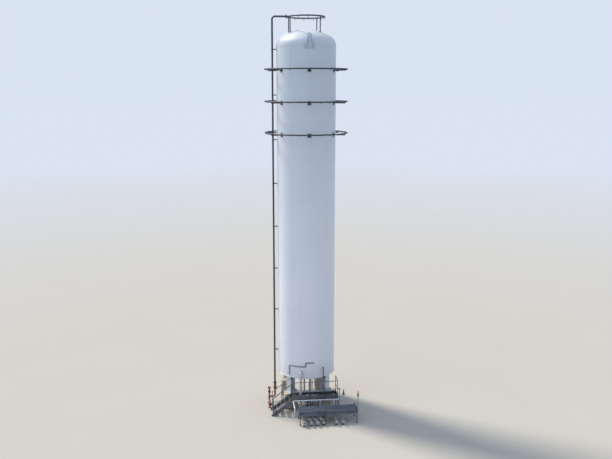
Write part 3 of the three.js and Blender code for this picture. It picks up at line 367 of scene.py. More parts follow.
def make_finishes(looks, course):
    """Every finish on the tank, from the colours that the panel shows."""
    FINISHES.update(
        white=white_polyurethane(looks.shell_colour, course),
        # The lugs' paint is a darker white than the shell's.
        lug=brushed_on_enamel("chafed_white_paint", looks.lug_colour, "#7b858f", "#a9b5c4"),
        # Spray pipework: near-black, partly weathered zinc and partly painted shade for the shade that the
        # thin pipes stand in.
        zinc=zinc_coating("weathered_galvanized_steel", looks.pipework_colour, 0.16, 0.4),
        grating=zinc_coating("galvanized_bar_grating", looks.grating_colour, 0.3, 0.2),
        grey=brushed_on_enamel("grey_alkyd_enamel", looks.platform_colour, "#6b5344", "#70767e"),
        pale=brushed_on_enamel("pale_grey_alkyd_enamel", looks.toe_plate_colour, "#8a7a6c", "#a3a8ae"),
        red=brushed_on_enamel("red_alkyd_enamel", looks.fire_water_colour, "#4a3530", "#8a4a48"),
        dark=brushed_on_enamel("dark_cast_iron_enamel", looks.valve_colour, "#6b4a3a", "#585e66"),
        fins=extruded_aluminium(looks.fin_colour),
        jacket=aluminium_jacket(looks.jacket_colour),
        stainless=pickled_stainless_steel(looks.flange_colour),
        concrete=cast_concrete(looks.concrete_colour),
        bolts=zinc_plated_steel(looks.bolt_colour),
    )


# Meshes


def from_bmesh(shape, finish):
    """Turns a bmesh into a mesh with one finish, its faces outwards."""
    bmesh.ops.recalc_face_normals(shape, faces=shape.faces)
    mesh = bpy.data.meshes.new("part")
    shape.to_mesh(mesh)
    shape.free()
    mesh.materials.append(FINISHES[finish])
    return mesh


def block(low, high, finish, edge=0.002, turn=0.0, centre=AXIS):
    """A plate or bar between two opposite corners, its edges softened, turned about an upright axis."""
    low, high = Vector(low), Vector(high)
    size = high - low
    shape = bmesh.new()
    bmesh.ops.create_cube(shape, size=1.0)
    bmesh.ops.scale(shape, vec=size, verts=shape.verts)
    offset = min(edge, min(size) * 0.3)
    bmesh.ops.bevel(shape, geom=shape.edges[:], offset=offset, segments=1, affect="EDGES")
    bmesh.ops.translate(shape, vec=(low + high) / 2, verts=shape.verts)
    place = Matrix.Rotation(math.radians(turn), 3, "Z")
    bmesh.ops.rotate(shape, cent=centre, matrix=place, verts=shape.verts)
    return from_bmesh(shape, finish)


def lathe(profile, finish, foot=AXIS, along=UP, sides=24, closed=False):
    """A shape turned round an axis. The profile is a list of radius and height pairs; it ends on the axis,
    or, where closed, runs round a wall and joins its start."""
    shape = bmesh.new()
    rows = []
    for radius, height in profile:
        spots = circle(radius, sides) if radius > 1e-6 else [(0, 0)]
        rows.append([shape.verts.new((x, y, height)) for x, y in spots])
    following = rows[1:] + rows[:1] if closed else rows[1:]
    for first, second in zip(rows, following):
        for i in range(sides):
            ring = ((first, i), (first, i + 1), (second, i + 1), (second, i))
            corners = list(dict.fromkeys(row[j % len(row)] for row, j in ring))
            if len(corners) > 2:
                shape.faces.new(corners)
    turn = along.to_track_quat("Z", "Y").to_matrix()
    bmesh.ops.rotate(shape, cent=(0, 0, 0), matrix=turn, verts=shape.verts)
    bmesh.ops.translate(shape, vec=foot, verts=shape.verts)
    return from_bmesh(shape, finish)


def disc(foot, along, radius, length, finish, sides=24, edge=0.003):
    """A round plate or short bar with softened rims."""
    edge = min(edge, radius * 0.3, length * 0.3)
    profile = [(0, 0), (radius - edge, 0), (radius, edge), (radius, length - edge), (radius - edge, length),
               (0, length)]
    return lathe(profile, finish, foot, along, sides)


def plate(outline, thickness, finish, place, holes=()):
    """A flat plate cut to an outline of x, y pairs, with holes through it, put where the matrix says."""
    shape = bmesh.new()
    loops = [[shape.verts.new((x, y, 0)) for x, y in loop] for loop in (outline, *holes)]
    rims = [(loop[i - 1], loop[i]) for loop in loops for i in range(len(loop))]
    edges = [shape.edges.new(pair) for pair in rims]
    bmesh.ops.triangle_fill(shape, use_beauty=True, edges=edges)
    # The other side and the walls are made by hand, because an extrusion's faces come in no fixed order.
    raised = {corner: shape.verts.new(corner.co + UP * thickness) for corner in shape.verts[:]}
    for face in shape.faces[:]:
        shape.faces.new([raised[corner] for corner in face.verts])
    for first, second in rims:
        shape.faces.new((first, second, raised[second], raised[first]))
    bmesh.ops.transform(shape, matrix=place, verts=shape.verts)
    return from_bmesh(shape, finish)


# What the points of a tree's base mesh carry.
LINE_VALUES = {"pipe_radius": "FLOAT", "bend": "FLOAT"}
SEAT_VALUES = {"way_out": "FLOAT_VECTOR", "ring": "FLOAT", "nut": "FLOAT"}


def base_mesh(points, edges, kinds, rows):
    """A bare mesh for a tree to work on, whose points carry a row of values of each kind."""
    mesh = bpy.data.meshes.new("base")
    mesh.from_pydata([tuple(point) for point in points], edges, [])
    for (name, kind), values in zip(kinds.items(), rows):
        field = "value" if kind == "FLOAT" else "vector"
        mesh.attributes.new(name, kind, "POINT").data.foreach_set(field, values)
    return mesh


def wires(paths, closed=False):
    """Bare lines to follow: each path is corners, a pipe radius and a bend radius."""
    points, edges, radii, bends = [], [], [], []
    for corners, radius, bend in paths:
        start = len(points)
        points += corners
        edges += [(i - 1, i) for i in range(start + 1, len(points))]
        if closed:
            edges.append((len(points) - 1, start))
        radii += [radius] * len(corners)
        bends += [bend] * len(corners)
    return base_mesh(points, edges, LINE_VALUES, (radii, bends))


def seats(places):
    """Bare points for bolts: each is a centre, the way out, the ring's radius and a nut's radius."""
    centres, ways, rings, sizes = zip(*places)
    return base_mesh(centres, [], SEAT_VALUES, ([part for way in ways for part in way], rings, sizes))


# Node trees

TREES = {}
SOCKETS = {float: "NodeSocketFloat", int: "NodeSocketInt", bool: "NodeSocketBool", tuple: "NodeSocketVector",
           bpy.types.Material: "NodeSocketMaterial", bpy.types.Object: "NodeSocketObject"}


def new_tree(name, inputs, carried=None):
    """An empty geometry tree, and what it is given, by name: its inputs, each named with its default or its
    type, and the values that its base mesh carries."""
    tree = bpy.data.node_groups.new(name, "GeometryNodeTree")
    for way in ("OUTPUT", "INPUT"):
        tree.interface.new_socket("Geometry", in_out=way, socket_type="NodeSocketGeometry")
    for label, value in {**inputs, "Material": bpy.types.Material}.items():
        kind = value if isinstance(value, type) else type(value)
        socket = tree.interface.new_socket(label, in_out="INPUT", socket_type=SOCKETS[kind])
        if not isinstance(value, type):
            socket.default_value = value
    given = dict(put(tree, "NodeGroupInput").node.outputs.items())
    for label, kind in (carried or {}).items():
        given[label] = put(tree, "GeometryNodeInputNamedAttribute", {"Name": label}, data_type=kind)
    return tree, given


def close_tree(tree, geometry, given, smooth=False):
    """Ends a tree: every instance made real, its shading and its material set."""
    real = put(tree, "GeometryNodeRealizeInstances", {0: geometry})
    shaded = put(tree, "GeometryNodeSetShadeSmooth", {0: real, "Shade Smooth": smooth})
    painted = put(tree, "GeometryNodeSetMaterial", {0: shaded, "Material": given["Material"]})
    put(tree, "NodeGroupOutput", {0: painted})
    return tree


def bent_line(tree, given):
    """The base's lines as curves, their corners rounded where bends are asked for."""
    line = put(tree, "GeometryNodeMeshToCurve", {0: given["Geometry"]})
    inputs = {0: line, "Radius": given["bend"], "Limit Radius": True, "Count": given["Bend Steps"]}
    bent = put(tree, "GeometryNodeFilletCurve", inputs, mode="POLY")
    inputs = {"Switch": given["Has Bends"], "False": line, "True": bent}
    return put(tree, "GeometryNodeSwitch", inputs, input_type="GEOMETRY")


def angle_round(tree, count, start=0.0):
    """The angle of each of count things that stand evenly round a circle."""
    step = put(tree, "ShaderNodeMath", {0: 2 * math.pi, 1: count}, operation="DIVIDE")
    index = put(tree, "GeometryNodeInputIndex")
    return put(tree, "ShaderNodeMath", {0: index, 1: step, 2: start}, operation="MULTIPLY_ADD")


def pipe_tree():
    """Round pipe along lines, with bends at their corners and closed ends."""
    tree, given = new_tree("pipe_runs", {"Sides": 20, "Bend Steps": 8, "Has Bends": True}, LINE_VALUES)
    section = put(tree, "GeometryNodeCurvePrimitiveCircle", {"Resolution": given["Sides"], "Radius": 1.0})
    inputs = {0: bent_line(tree, given), 1: section, "Scale": given["pipe_radius"], "Fill Caps": True}
    return close_tree(tree, put(tree, "GeometryNodeCurveToMesh", inputs), given, True)


def band_tree():
    """Thin bands round a pipe, evenly spaced along it, as on sheet jackets."""
    inputs = {"Spacing": 0.5, "Width": 0.02, "Stand Proud": 1.04, "Bend Steps": 8, "Has Bends": True}
    tree, given = new_tree("jacket_bands", inputs, LINE_VALUES)
    inputs = {0: bent_line(tree, given), "Length": given["Spacing"]}
    points = put(tree, "GeometryNodeCurveToPoints", inputs, mode="LENGTH")
    inputs = {"Vertices": 24, "Radius": given["Stand Proud"], "Depth": given["Width"]}
    hoop = put(tree, "GeometryNodeMeshCylinder", inputs)
    inputs = {"Vector": points.node.outputs["Tangent"]}
    aligned = put(tree, "FunctionNodeAlignRotationToVector", inputs, axis="Z")
    size = (given["pipe_radius"], given["pipe_radius"], 1.0)
    inputs = {"Points": points, "Instance": hoop, "Rotation": aligned, "Scale": size}
    return close_tree(tree, put(tree, "GeometryNodeInstanceOnPoints", inputs), given, True)


def bolt_tree():
    """Rings of nuts round flanges and foot plates, or single nuts where a ring has no width."""
    tree, given = new_tree("bolt_rings", {"Bolts": 8, "Turn": 0.0, "Nut": bpy.types.Object}, SEAT_VALUES)
    inputs = {"Vector": (1.0, 0.0, 0.0), "Angle": angle_round(tree, given["Bolts"], given["Turn"])}
    place = put(tree, "ShaderNodeVectorRotate", inputs, rotation_type="Z_AXIS")
    ring = put(tree, "GeometryNodePoints", {"Count": given["Bolts"], "Position": place})
    aligned = put(tree, "FunctionNodeAlignRotationToVector", {"Vector": given["way_out"]}, axis="Z")
    inputs = {"Points": given["Geometry"], "Instance": ring, "Rotation": aligned, "Scale": given["ring"]}
    places = put(tree, "GeometryNodeRealizeInstances", {0: put(tree, "GeometryNodeInstanceOnPoints", inputs)})
    nut = put(tree, "GeometryNodeObjectInfo", {"Object": given["Nut"]}).node.outputs["Geometry"]
    inputs = {"Points": places, "Instance": nut, "Rotation": aligned, "Scale": given["nut"]}
    return close_tree(tree, put(tree, "GeometryNodeInstanceOnPoints", inputs), given)


def grating_tree():
    """A panel of bar grating, from its top corner: upright bars, cross rods, and a flat bar all round."""
    inputs = {"Corner": (0.0, 0.0, 0.0), "Length": 1.0, "Width": 1.0, "Depth": 0.04, "Bars": 30, "Rods": 10,
              "Bar Thickness": 0.004}
    tree, given = new_tree("bar_grating", inputs)
    length, width, depth = (given[key] for key in ("Length", "Width", "Depth"))
    band, rod, inset = 0.005, 0.007, 0.0005

    def less(size, cut):
        return put(tree, "ShaderNodeMath", {0: size, 1: cut}, operation="SUBTRACT")

    cube = put(tree, "GeometryNodeMeshCube", {"Size": (1.0, 1.0, 1.0)})
    unit = put(tree, "GeometryNodeTransform", {0: cube, "Translation": (0.5, 0.5, -0.5)})
    rows = []
    # Each row is a count, the places of its first and last, and their size. The bars and rods end inside
    # the flat bar that runs round them, clear of its faces.
    for count, start, end, size in (
        (given["Bars"], (inset, 0.001, -0.002), (less(length, band - inset), 0.001, -0.002),
         (given["Bar Thickness"], less(width, 0.002), less(depth, 0.004))),
        (given["Rods"], (0.001, inset, -0.003), (0.001, less(width, rod + inset), -0.003),
         (less(length, 0.002), rod, rod)),
        (2, (0.0, 0.0, 0.0), (0.0, less(width, band), 0.0), (length, band, depth)),
        (2, (0.0, band, 0.0), (less(length, band), band, 0.0), (band, less(width, 2 * band), depth)),
    ):
        inputs = {"Count": count, "Start Location": start, "Offset": end}
        inputs = {"Points": put(tree, "GeometryNodeMeshLine", inputs, mode="END_POINTS"), "Instance": unit,
                  "Scale": size}
        rows.append(put(tree, "GeometryNodeInstanceOnPoints", inputs))
    whole = put(tree, "GeometryNodeJoinGeometry", {0: rows})
    placed = put(tree, "GeometryNodeTransform", {0: whole, "Translation": given["Corner"]})
    return close_tree(tree, placed, given)


def fin_tree():
    """Finned tubes side by side: round each a star of long flat fins, each with a bead along its edge."""
    inputs = {"Start": (0.0, 0.0, 0.0), "Step": (0.0, -0.168, 0.0), "Tubes": 5, "Length": 3.4, "Fins": 8,
              "Reach": 0.076, "Thickness": 0.003}
    tree, given = new_tree("finned_tubes", inputs)
    length, reach = given["Length"], given["Reach"]
    cube = put(tree, "GeometryNodeMeshCube", {"Size": (1.0, 1.0, 1.0)})
    unit = put(tree, "GeometryNodeTransform", {0: cube, "Translation": (0.5, 0.0, 0.5)})
    parts = [put(tree, "GeometryNodeTransform", {0: unit, "Translation": foot, "Scale": size})
             for foot, size in (((0.0, 0.0, 0.0), (length, given["Thickness"], reach)),
                                ((0.0, 0.0, reach), (length, 0.008, FIN_BEAD)))]
    fin = put(tree, "GeometryNodeJoinGeometry", {0: parts})
    turn = (angle_round(tree, given["Fins"]), 0.0, 0.0)
    inputs = {"Points": put(tree, "GeometryNodePoints", {"Count": given["Fins"]}), "Instance": fin,
              "Rotation": turn}
    star = put(tree, "GeometryNodeInstanceOnPoints", inputs)
    inputs = {"Count": given["Tubes"], "Start Location": given["Start"], "Offset": given["Step"]}
    inputs = {"Points": put(tree, "GeometryNodeMeshLine", inputs), "Instance": star}
    return close_tree(tree, put(tree, "GeometryNodeInstanceOnPoints", inputs), given)


def nozzle_tree():
    """Spray nozzles round a ring, each tipped towards the tank."""
    inputs = {"Centre": (0.0, 0.0, 0.0), "Radius": 2.5, "Nozzles": 24, "Tip": 0.5, "Nozzle": bpy.types.Object}
    tree, given = new_tree("spray_nozzles", inputs)
    ring = put(tree, "GeometryNodeMeshCircle", {"Vertices": given["Nozzles"], "Radius": given["Radius"]})
    moved = put(tree, "GeometryNodeTransform", {0: ring, "Translation": given["Centre"]})
    nozzle = put(tree, "GeometryNodeObjectInfo", {"Object": given["Nozzle"]}).node.outputs["Geometry"]
    turn = (0.0, given["Tip"], angle_round(tree, given["Nozzles"]))
    inputs = {"Points": moved, "Instance": nozzle, "Rotation": turn}
    return close_tree(tree, put(tree, "GeometryNodeInstanceOnPoints", inputs), given, True)


def grown(tree_name, base, finish, values):
    """The mesh that a tree makes from a base mesh, its named inputs set first."""
    holder = bpy.data.objects.new("holder", base or bpy.data.meshes.new("empty"))
    bpy.context.scene.collection.objects.link(holder)
    modifier = holder.modifiers.new("nodes", "NODES")
    modifier.node_group = TREES[tree_name]
    wanted = {"Material": FINISHES[finish], **values}
    for socket in TREES[tree_name].interface.items_tree:
        if socket.in_out == "INPUT" and socket.name in wanted:
            modifier[socket.identifier] = wanted[socket.name]
    depsgraph = bpy.context.evaluated_depsgraph_get()
    mesh = bpy.data.meshes.new_from_object(holder.evaluated_get(depsgraph))
    bpy.data.objects.remove(holder)
    return mesh


def pipes(paths, finish, sides=20, steps=8):
    """Pipes with round bends: each path is corners, a pipe radius and a bend radius."""
    return grown("pipes", wires(paths), finish, {"Sides": sides, "Bend Steps": steps})


def bars(paths, finish, sides=12, closed=False):
    """Straight round bars, or rings where closed: each path is corners and a radius."""
    base = wires([(corners, radius, 0.0) for corners, radius in paths], closed)
    return grown("pipes", base, finish, {"Sides": sides, "Has Bends": False})


def nuts(places, bolts=8, turn=0.0):
    """Nuts on studs in rings: each place is a centre, the way out, the ring's radius and a nut's radius."""
    values = {"Bolts": bolts, "Turn": math.radians(turn), "Nut": bpy.data.objects["stud_nut"]}
    return grown("bolts", seats(places), "bolts", values)


def nozzles(radius, level, count, tip):
    """Spray nozzles round a ring, tipped by so many degrees from straight down."""
    values = {"Centre": at(0, 0, level), "Radius": radius, "Nozzles": count, "Tip": math.radians(tip),
              "Nozzle": bpy.data.objects["spray_nozzle"]}
    return grown("nozzles", None, "bolts", values)


def flange(face, out, radius, thickness, finish, bore):
    """A pipe flange whose outer face is at face: a disc with a raised face, a hub, and nuts on its back."""
    hub, hub_end = bore * 1.18, thickness + 0.03
    profile = [(0, 0), (radius * 0.66, 0), (radius * 0.68, 0.002), (radius - 0.003, 0.002), (radius, 0.005),
               (radius, thickness - 0.003), (radius - 0.003, thickness), (hub * 1.12, thickness),
               (hub, hub_end), (0, hub_end)]
    return [lathe(profile, finish, face, -out, 32),
            nuts([(face - out * thickness, -out, radius * 0.82, radius * 0.115)])]


def open_flange(face, radius, thickness, bore, bolts=8, finish="stainless"):
    """An open pipe end towards the front: a drilled flange with a raised face, and a bare neck that goes
    back into its pipe."""
    depth, neck = 0.115, 0.2
    ring = bore + (radius - bore) * 0.64
    holes = [circle(0.009, 10, x, y) for x, y in circle(ring, bolts)]
    place = Matrix.Translation(face - FRONT * thickness) @ FRONT.to_track_quat("Z", "Y").to_matrix().to_4x4()
    profile = [(0, depth), (bore, depth), (bore, 0), (ring - 0.013, 0), (ring - 0.015, 0.004),
               (bore * 1.5, 0.006), (bore * 1.5, thickness), (bore * 1.3, thickness + 0.03),
               (bore * 1.24, neck), (0, neck)]
    drilled = plate(circle(radius, 40), thickness - 0.002, finish, place, [circle(bore * 1.04, 24), *holes])
    return [drilled, lathe(profile, finish, face, -FRONT, 28)]


def assemble(node, word, meshes):
    """Joins meshes into one piece that stands for a node of the frame, and rides on the tank."""
    whole = bmesh.new()
    finishes = []
    for mesh in meshes:
        first = len(whole.faces)
        whole.from_mesh(mesh)
        whole.faces.ensure_lookup_table()
        finishes += [material for material in mesh.materials if material not in finishes]
        for face in whole.faces[first:]:
            face.material_index = finishes.index(mesh.materials[face.material_index])
            face.smooth = True
        bpy.data.meshes.remove(mesh)
    piece_mesh = bpy.data.meshes.new(f"{node}_{word}")
    whole.to_mesh(piece_mesh)
    whole.free()
    for material in finishes:
        piece_mesh.materials.append(material)
    piece_mesh.set_sharp_from_angle(angle=math.radians(33))
    piece = bpy.data.objects.new(f"{node}_{word}", piece_mesh)
    bpy.context.scene.collection.objects.link(piece)
    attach(piece, "root")
    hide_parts(node)


def small_parts():
    """The nut and the nozzle that the trees repeat, kept out of the scene."""
    shape = bmesh.new()
    # A washer, a nut and the end of its stud, for a nut of radius 1.
    for sides, radius, low, high in ((10, 1.25, 0, 0.22), (6, 1.0, 0.22, 1.0), (8, 0.55, 1.0, 1.7)):
        drum = lathe([(0, low), (radius, low), (radius, high), (0, high)], "bolts", Vector(), sides=sides)
        shape.from_mesh(drum)
        bpy.data.meshes.remove(drum)
    bpy.data.objects.new("stud_nut", from_bmesh(shape, "bolts"))
    # The nozzle points down its own -Z before it is tipped: a nipple, a hexagon and a flared mouth.
    profile = [(0, 0.02), (0.013, 0.02), (0.013, -0.05), (0.022, -0.055), (0.022, -0.075), (0.014, -0.08),
               (0.016, -0.1), (0.028, -0.118), (0, -0.118)]
    bpy.data.objects.new("spray_nozzle", lathe(profile, "zinc", DOWN * 0.03, sides=10))


# The shell


def shell_wall(profile):
    """A wall of the shell turned from its closed profile."""
    return lathe(profile, "white", sides=144, closed=True)


def weld_rings(levels, bead):
    """Round welds on the shell."""
    rings = [(ring_of_points(SHELL_RADIUS + bead * 0.2, z), bead) for z in levels]
    return bars(rings, "white", 8, closed=True)


def shell_section(node, courses, seam_degrees, bead):
    """One rolled length of the shell, with its courses' round welds and their staggered upright welds."""
    low, high = (corner.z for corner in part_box(node))
    inner, skin = SHELL_RADIUS - WALL, SHELL_RADIUS + bead * 0.2
    tall = (high - low) / courses
    uprights = []
    for i in range(courses):
        for degrees in (seam_degrees + 70 * i, seam_degrees + 70 * i + 180):
            foot, head = low + tall * i + bead, low + tall * (i + 1) - bead
            uprights.append(([polar(skin, degrees, foot), polar(skin, degrees, head)], bead))
    assemble(node, "plates", [
        shell_wall([(SHELL_RADIUS, low), (SHELL_RADIUS, high), (inner, high), (inner, low)]),
        weld_rings([low + max(tall * i, bead) for i in range(courses)], bead),
        bars(uprights, "white", 8),
    ])


def head_curve(radius, depth, steps=18):
    """Half an ellipse from rim to crown, as radius and height pairs."""
    angles = [math.pi / 2 * i / steps for i in range(steps + 1)]
    return [(radius * math.cos(a), HEAD_RIM + depth * math.sin(a)) for a in angles]


def top_head(bead):
    """The dished top head: a straight flange and half an ellipse, with its wall, and a weld at the seam."""
    inner = SHELL_RADIUS - WALL
    profile = [(SHELL_RADIUS, HEAD_SEAM), *head_curve(SHELL_RADIUS, HEAD_DEPTH),
               *reversed(head_curve(inner, HEAD_DEPTH - WALL)), (inner, HEAD_SEAM)]
    meshes = [shell_wall(profile), weld_rings([HEAD_SEAM + bead], bead)]
    assemble("top_head", "dish", meshes)


def bottom_head():
    """The dished bottom head, which shows as its solid is, in the shell's paint."""
    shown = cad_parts["bottom_head"]
    shown.data.materials.clear()
    shown.data.materials.append(FINISHES["white"])


def base_ring():
    """The ring plate under the skirt, its outer corners eased."""
    outer, inner, edge = SHELL_RADIUS + 0.03, SHELL_RADIUS - 0.4, 0.004
    profile = [(outer - edge, RING_BOTTOM), (outer, RING_BOTTOM + edge), (outer, RING_TOP - edge),
               (outer - edge, RING_TOP), (inner, RING_TOP), (inner, RING_BOTTOM)]
    assemble("base_ring", "plate", [shell_wall(profile)])


class TANK_OT_shell(bpy.types.Operator):
    """Builds the shell's three lengths, the two heads and the base ring"""
    bl_idname = "tank.shell"
    bl_label = "Shell and heads"

    def execute(self, context):
        shell = context.scene.tank_shell
        low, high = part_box("shell_middle")
        courses = max(1, round((high.z - low.z) / shell.course_height))
        for i, node in enumerate(("shell_lower", "shell_middle", "shell_upper")):
            shell_section(node, courses, 20 + 37 * i, shell.weld_bead)
        top_head(shell.weld_bead)
        bottom_head()
        base_ring()
        return {"FINISHED"}


# Legs, piers and fittings on the shell


def leg(node, degrees):
    """An H-section leg: flanges, web, foot and cap plates with stiffeners, and four anchor bolts."""
    foot, cap = PIER_TOP + SEAT_GAP, RING_BOTTOM - SEAT_GAP
    foot_top = foot + 0.036
    lap_low, lap_high = foot + 0.01, cap - 0.01
    centre = polar(LEG_DIAGONAL, degrees, 0)
    # Each plate by its middle, its half width and half depth, and its foot and top.
    plates = [
        (-0.19, 0.01, 0.2, lap_low, lap_high),
        (0.19, 0.01, 0.2, lap_low, lap_high),
        (0, 0.185, 0.01, lap_low, lap_high),
        (0, 0.27, 0.27, foot, foot_top),
        (0, 0.24, 0.24, cap - 0.024, cap),
        (0, 0.01, 0.25, lap_low, foot + 0.22),
        (0, 0.18, 0.19, foot + 0.43, foot + 0.446),
        (0, 0.18, 0.19, cap - 0.22, cap - 0.204),
    ]
    meshes = [block(centre + Vector((x - wide, -deep, low)), centre + Vector((x + wide, deep, high)), "white",
                    0.004, degrees, centre) for x, wide, deep, low, high in plates]
    turn = Matrix.Rotation(math.radians(degrees), 3, "Z")
    corners = [centre + turn @ Vector((x, y, 0)) for y in (-0.012, 0.012) for x in (-0.1782, 0.1782)]
    welds = [([corner + UP * (foot + 0.04), corner + UP * (cap - 0.03)], 0.009) for corner in corners]
    meshes += [bars(welds, "white", 8), nuts([(centre + UP * foot_top, UP, 0.318, 0.03)], 4, 45 + degrees)]
    assemble(node, "section", meshes)


def pier(node):
    """A cast pier with chamfered edges, the grooves that its form's joints left, and plugged tie holes."""
    low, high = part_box(node)
    middle, half = (low + high) / 2, (high - low) / 2
    chamfer = 0.045
    levels = [(0.0, low.z)]
    for joint in (0.35, 0.7):
        levels += [(0.0, joint - 0.008), (0.006, joint), (0.0, joint + 0.008)]
    levels += [(0.0, high.z - 0.012), (0.0035, high.z - 0.0035), (0.012, high.z)]
    corners = ((1, -1, 0), (1, 1, 0), (1, 1, 1), (-1, 1, 1), (-1, 1, 0), (-1, -1, 0), (-1, -1, 1), (1, -1, 1))
    shape = bmesh.new()
    rings = [[shape.verts.new((middle.x + x * (half.x - inset - across * chamfer),
                               middle.y + y * (half.y - inset - (1 - across) * chamfer), z))
              for x, y, across in corners] for inset, z in levels]
    for lower, upper in zip(rings, rings[1:]):
        for i in range(len(corners)):
            shape.faces.new((lower[i - 1], lower[i], upper[i], upper[i - 1]))
    shape.faces.new(rings[0])
    shape.faces.new(rings[-1])
    meshes = [from_bmesh(shape, "concrete")]
    for out, reach, side, width in ((RIGHT, half.x, BACK, half.y), (BACK, half.y, RIGHT, half.x)):
        for way in (-out, out):
            for across in (-0.5, 0.5):
                spot = middle + way * reach + side * across * width
                meshes += [disc(Vector((spot.x, spot.y, z)), way, 0.017, 0.002, "concrete", 12, 0.0006)
                           for z in (0.175, 0.525, 0.875)]
    assemble(node, "casting", meshes)


class TANK_OT_supports(bpy.types.Operator):
    """Builds the four legs and the four concrete piers"""
    bl_idname = "tank.supports"
    bl_label = "Legs and piers"

    def execute(self, context):
        corners = {"front_left": 225, "front_right": 315, "back_right": 45, "back_left": 135}
        for corner, degrees in corners.items():
            leg(f"leg_{corner}", degrees)
            pier(f"pier_{corner}")
        return {"FINISHED"}


def lifting_lug(node, degrees):
    """A lifting lug over the shell's top edge: a rounded pad, a tapering plate with a collared eye, and two
    ribs that lean with its edges."""
    foot, eye = HEAD_SEAM - 0.18, HEAD_SEAM + 0.6
    pad_corners = ((0.23, 0.25, 0), (-0.23, 0.25, 90), (-0.23, 0.05, 180), (0.23, 0.05, 270))

    def raised(depth):
        return standing(polar(SEAT_RADIUS + depth, degrees, 0), degrees + 90)

    pad = [spot for x, z, start in pad_corners for spot in arc(x, foot + z, 0.05, start, 90, 5)]
    tongue = [(-0.24, foot + 0.06), (0.24, foot + 0.06), *arc(0, eye, 0.132, 0, 180, 16)]
    collar = [(0.055, -0.006), (0.095, -0.006), (0.1, 0.0), (0.1, 0.04), (0.095, 0.046), (0.055, 0.046)]
    rib = ((0.225, 0.062), (0.255, 0.062), (0.175, 0.56), (0.145, 0.56))
    meshes = [plate(pad, 0.024, "lug", raised(0)),
              plate(tongue, 0.04, "lug", raised(0.01), [circle(0.056, 24, 0, eye)]),
              lathe(collar, "lug", polar(SEAT_RADIUS + 0.01, degrees, eye), way_round(degrees), 28, True)]
    meshes += [plate([(side * x, foot + z) for x, z in rib], 0.118, "lug", raised(0.012)) for side in (-1, 1)]
    assemble(node, "plates", meshes)


def fill_port():
    """The port high on the back of the shell: a pad ring, a neck and a bolted blind flange."""
    out = way_round(PORT_DEGREES)
    seat = polar(SEAT_RADIUS, PORT_DEGREES, PORT_LEVEL)
    meshes = [disc(seat + out * far, out, radius, long, "white", sides) for far, radius, long, sides in (
        (0, 0.2, 0.014, 36), (0, 0.125, 0.2, 32), (0.2, 0.185, 0.026, 36), (0.229, 0.185, 0.027, 36),
        (0.22, 0.12, 0.012, 32))]
    for far, way in ((0.2, -out), (0.2275, out)):
        meshes.append(nuts([(seat + out * far, way, 0.153, 0.0145)], 12))
    assemble("fill_port", "flanges", meshes)


def gauge_line():
    """A small line clipped to the shell's front: up from the skirt, along, a step up, and back in."""
    skin, radius = SHELL_RADIUS + 0.002, SHELL_RADIUS + 0.055
    left, step, right = 229, 263, 279
    foot, low, high = 2.36, 2.98, 3.24
    corners = [(skin, left, foot), (radius, left, foot), *((radius, left + 4 * i, low) for i in range(8)),
               (radius, step, low), (radius, step, high), (radius, (step + right) / 2, high),
               (radius, right, high), (skin, right, high)]
    # Painted shadow: the line takes the dark valve enamel, standing in for the shadow that the white pipe
    # casts on the shell.
    meshes = [pipes([([polar(*corner) for corner in corners], 0.024, 0.035)], "dark", 14, 4)]
    for degrees, z in ((236, low), (250, low), (271, high)):
        tangent = way_round(degrees + 90)
        meshes += [block(at(SEAT_RADIUS, -0.02, z - 0.016), at(radius - 0.02, 0.02, z + 0.016), "white",
                         0.003, degrees),
                   disc(polar(radius, degrees, z) - tangent * 0.017, tangent, 0.031, 0.034, "bolts", 16)]
    meshes += [disc(polar(SEAT_RADIUS, degrees, z), way_round(degrees), 0.042, 0.02, "white", 16)
               for degrees, z in ((left, foot), (right, high))]
    assemble("gauge_line", "tubing", meshes)


class TANK_OT_shell_fittings(bpy.types.Operator):
    """Builds the two lifting lugs, the port at the back and the gauge line at the front"""
    bl_idname = "tank.shell_fittings"
    bl_label = "Lugs, port and gauge line"

    def execute(self, context):
        lifting_lug("lifting_lug_front", -90)
        lifting_lug("lifting_lug_back", 90)
        fill_port()
        gauge_line()
        return {"FINISHED"}


# Spray water


def hand_wheel(centre, along, radius, finish):
    """A valve's hand wheel: a round rim, a hub and five spokes dished a little towards the valve."""
    side = along.orthogonal().normalized()
    other = along.cross(side)
    rim = [centre + side * x + other * y for x, y in circle(radius, 40)]
    spokes = [([centre - along * 0.012, centre + side * x + other * y], 0.008) for x, y in circle(radius, 5)]
    return [bars([(rim, 0.012)], finish, closed=True), bars(spokes, finish, 10),
            disc(centre - along * 0.03, along, 0.028, 0.045, finish, 16)]


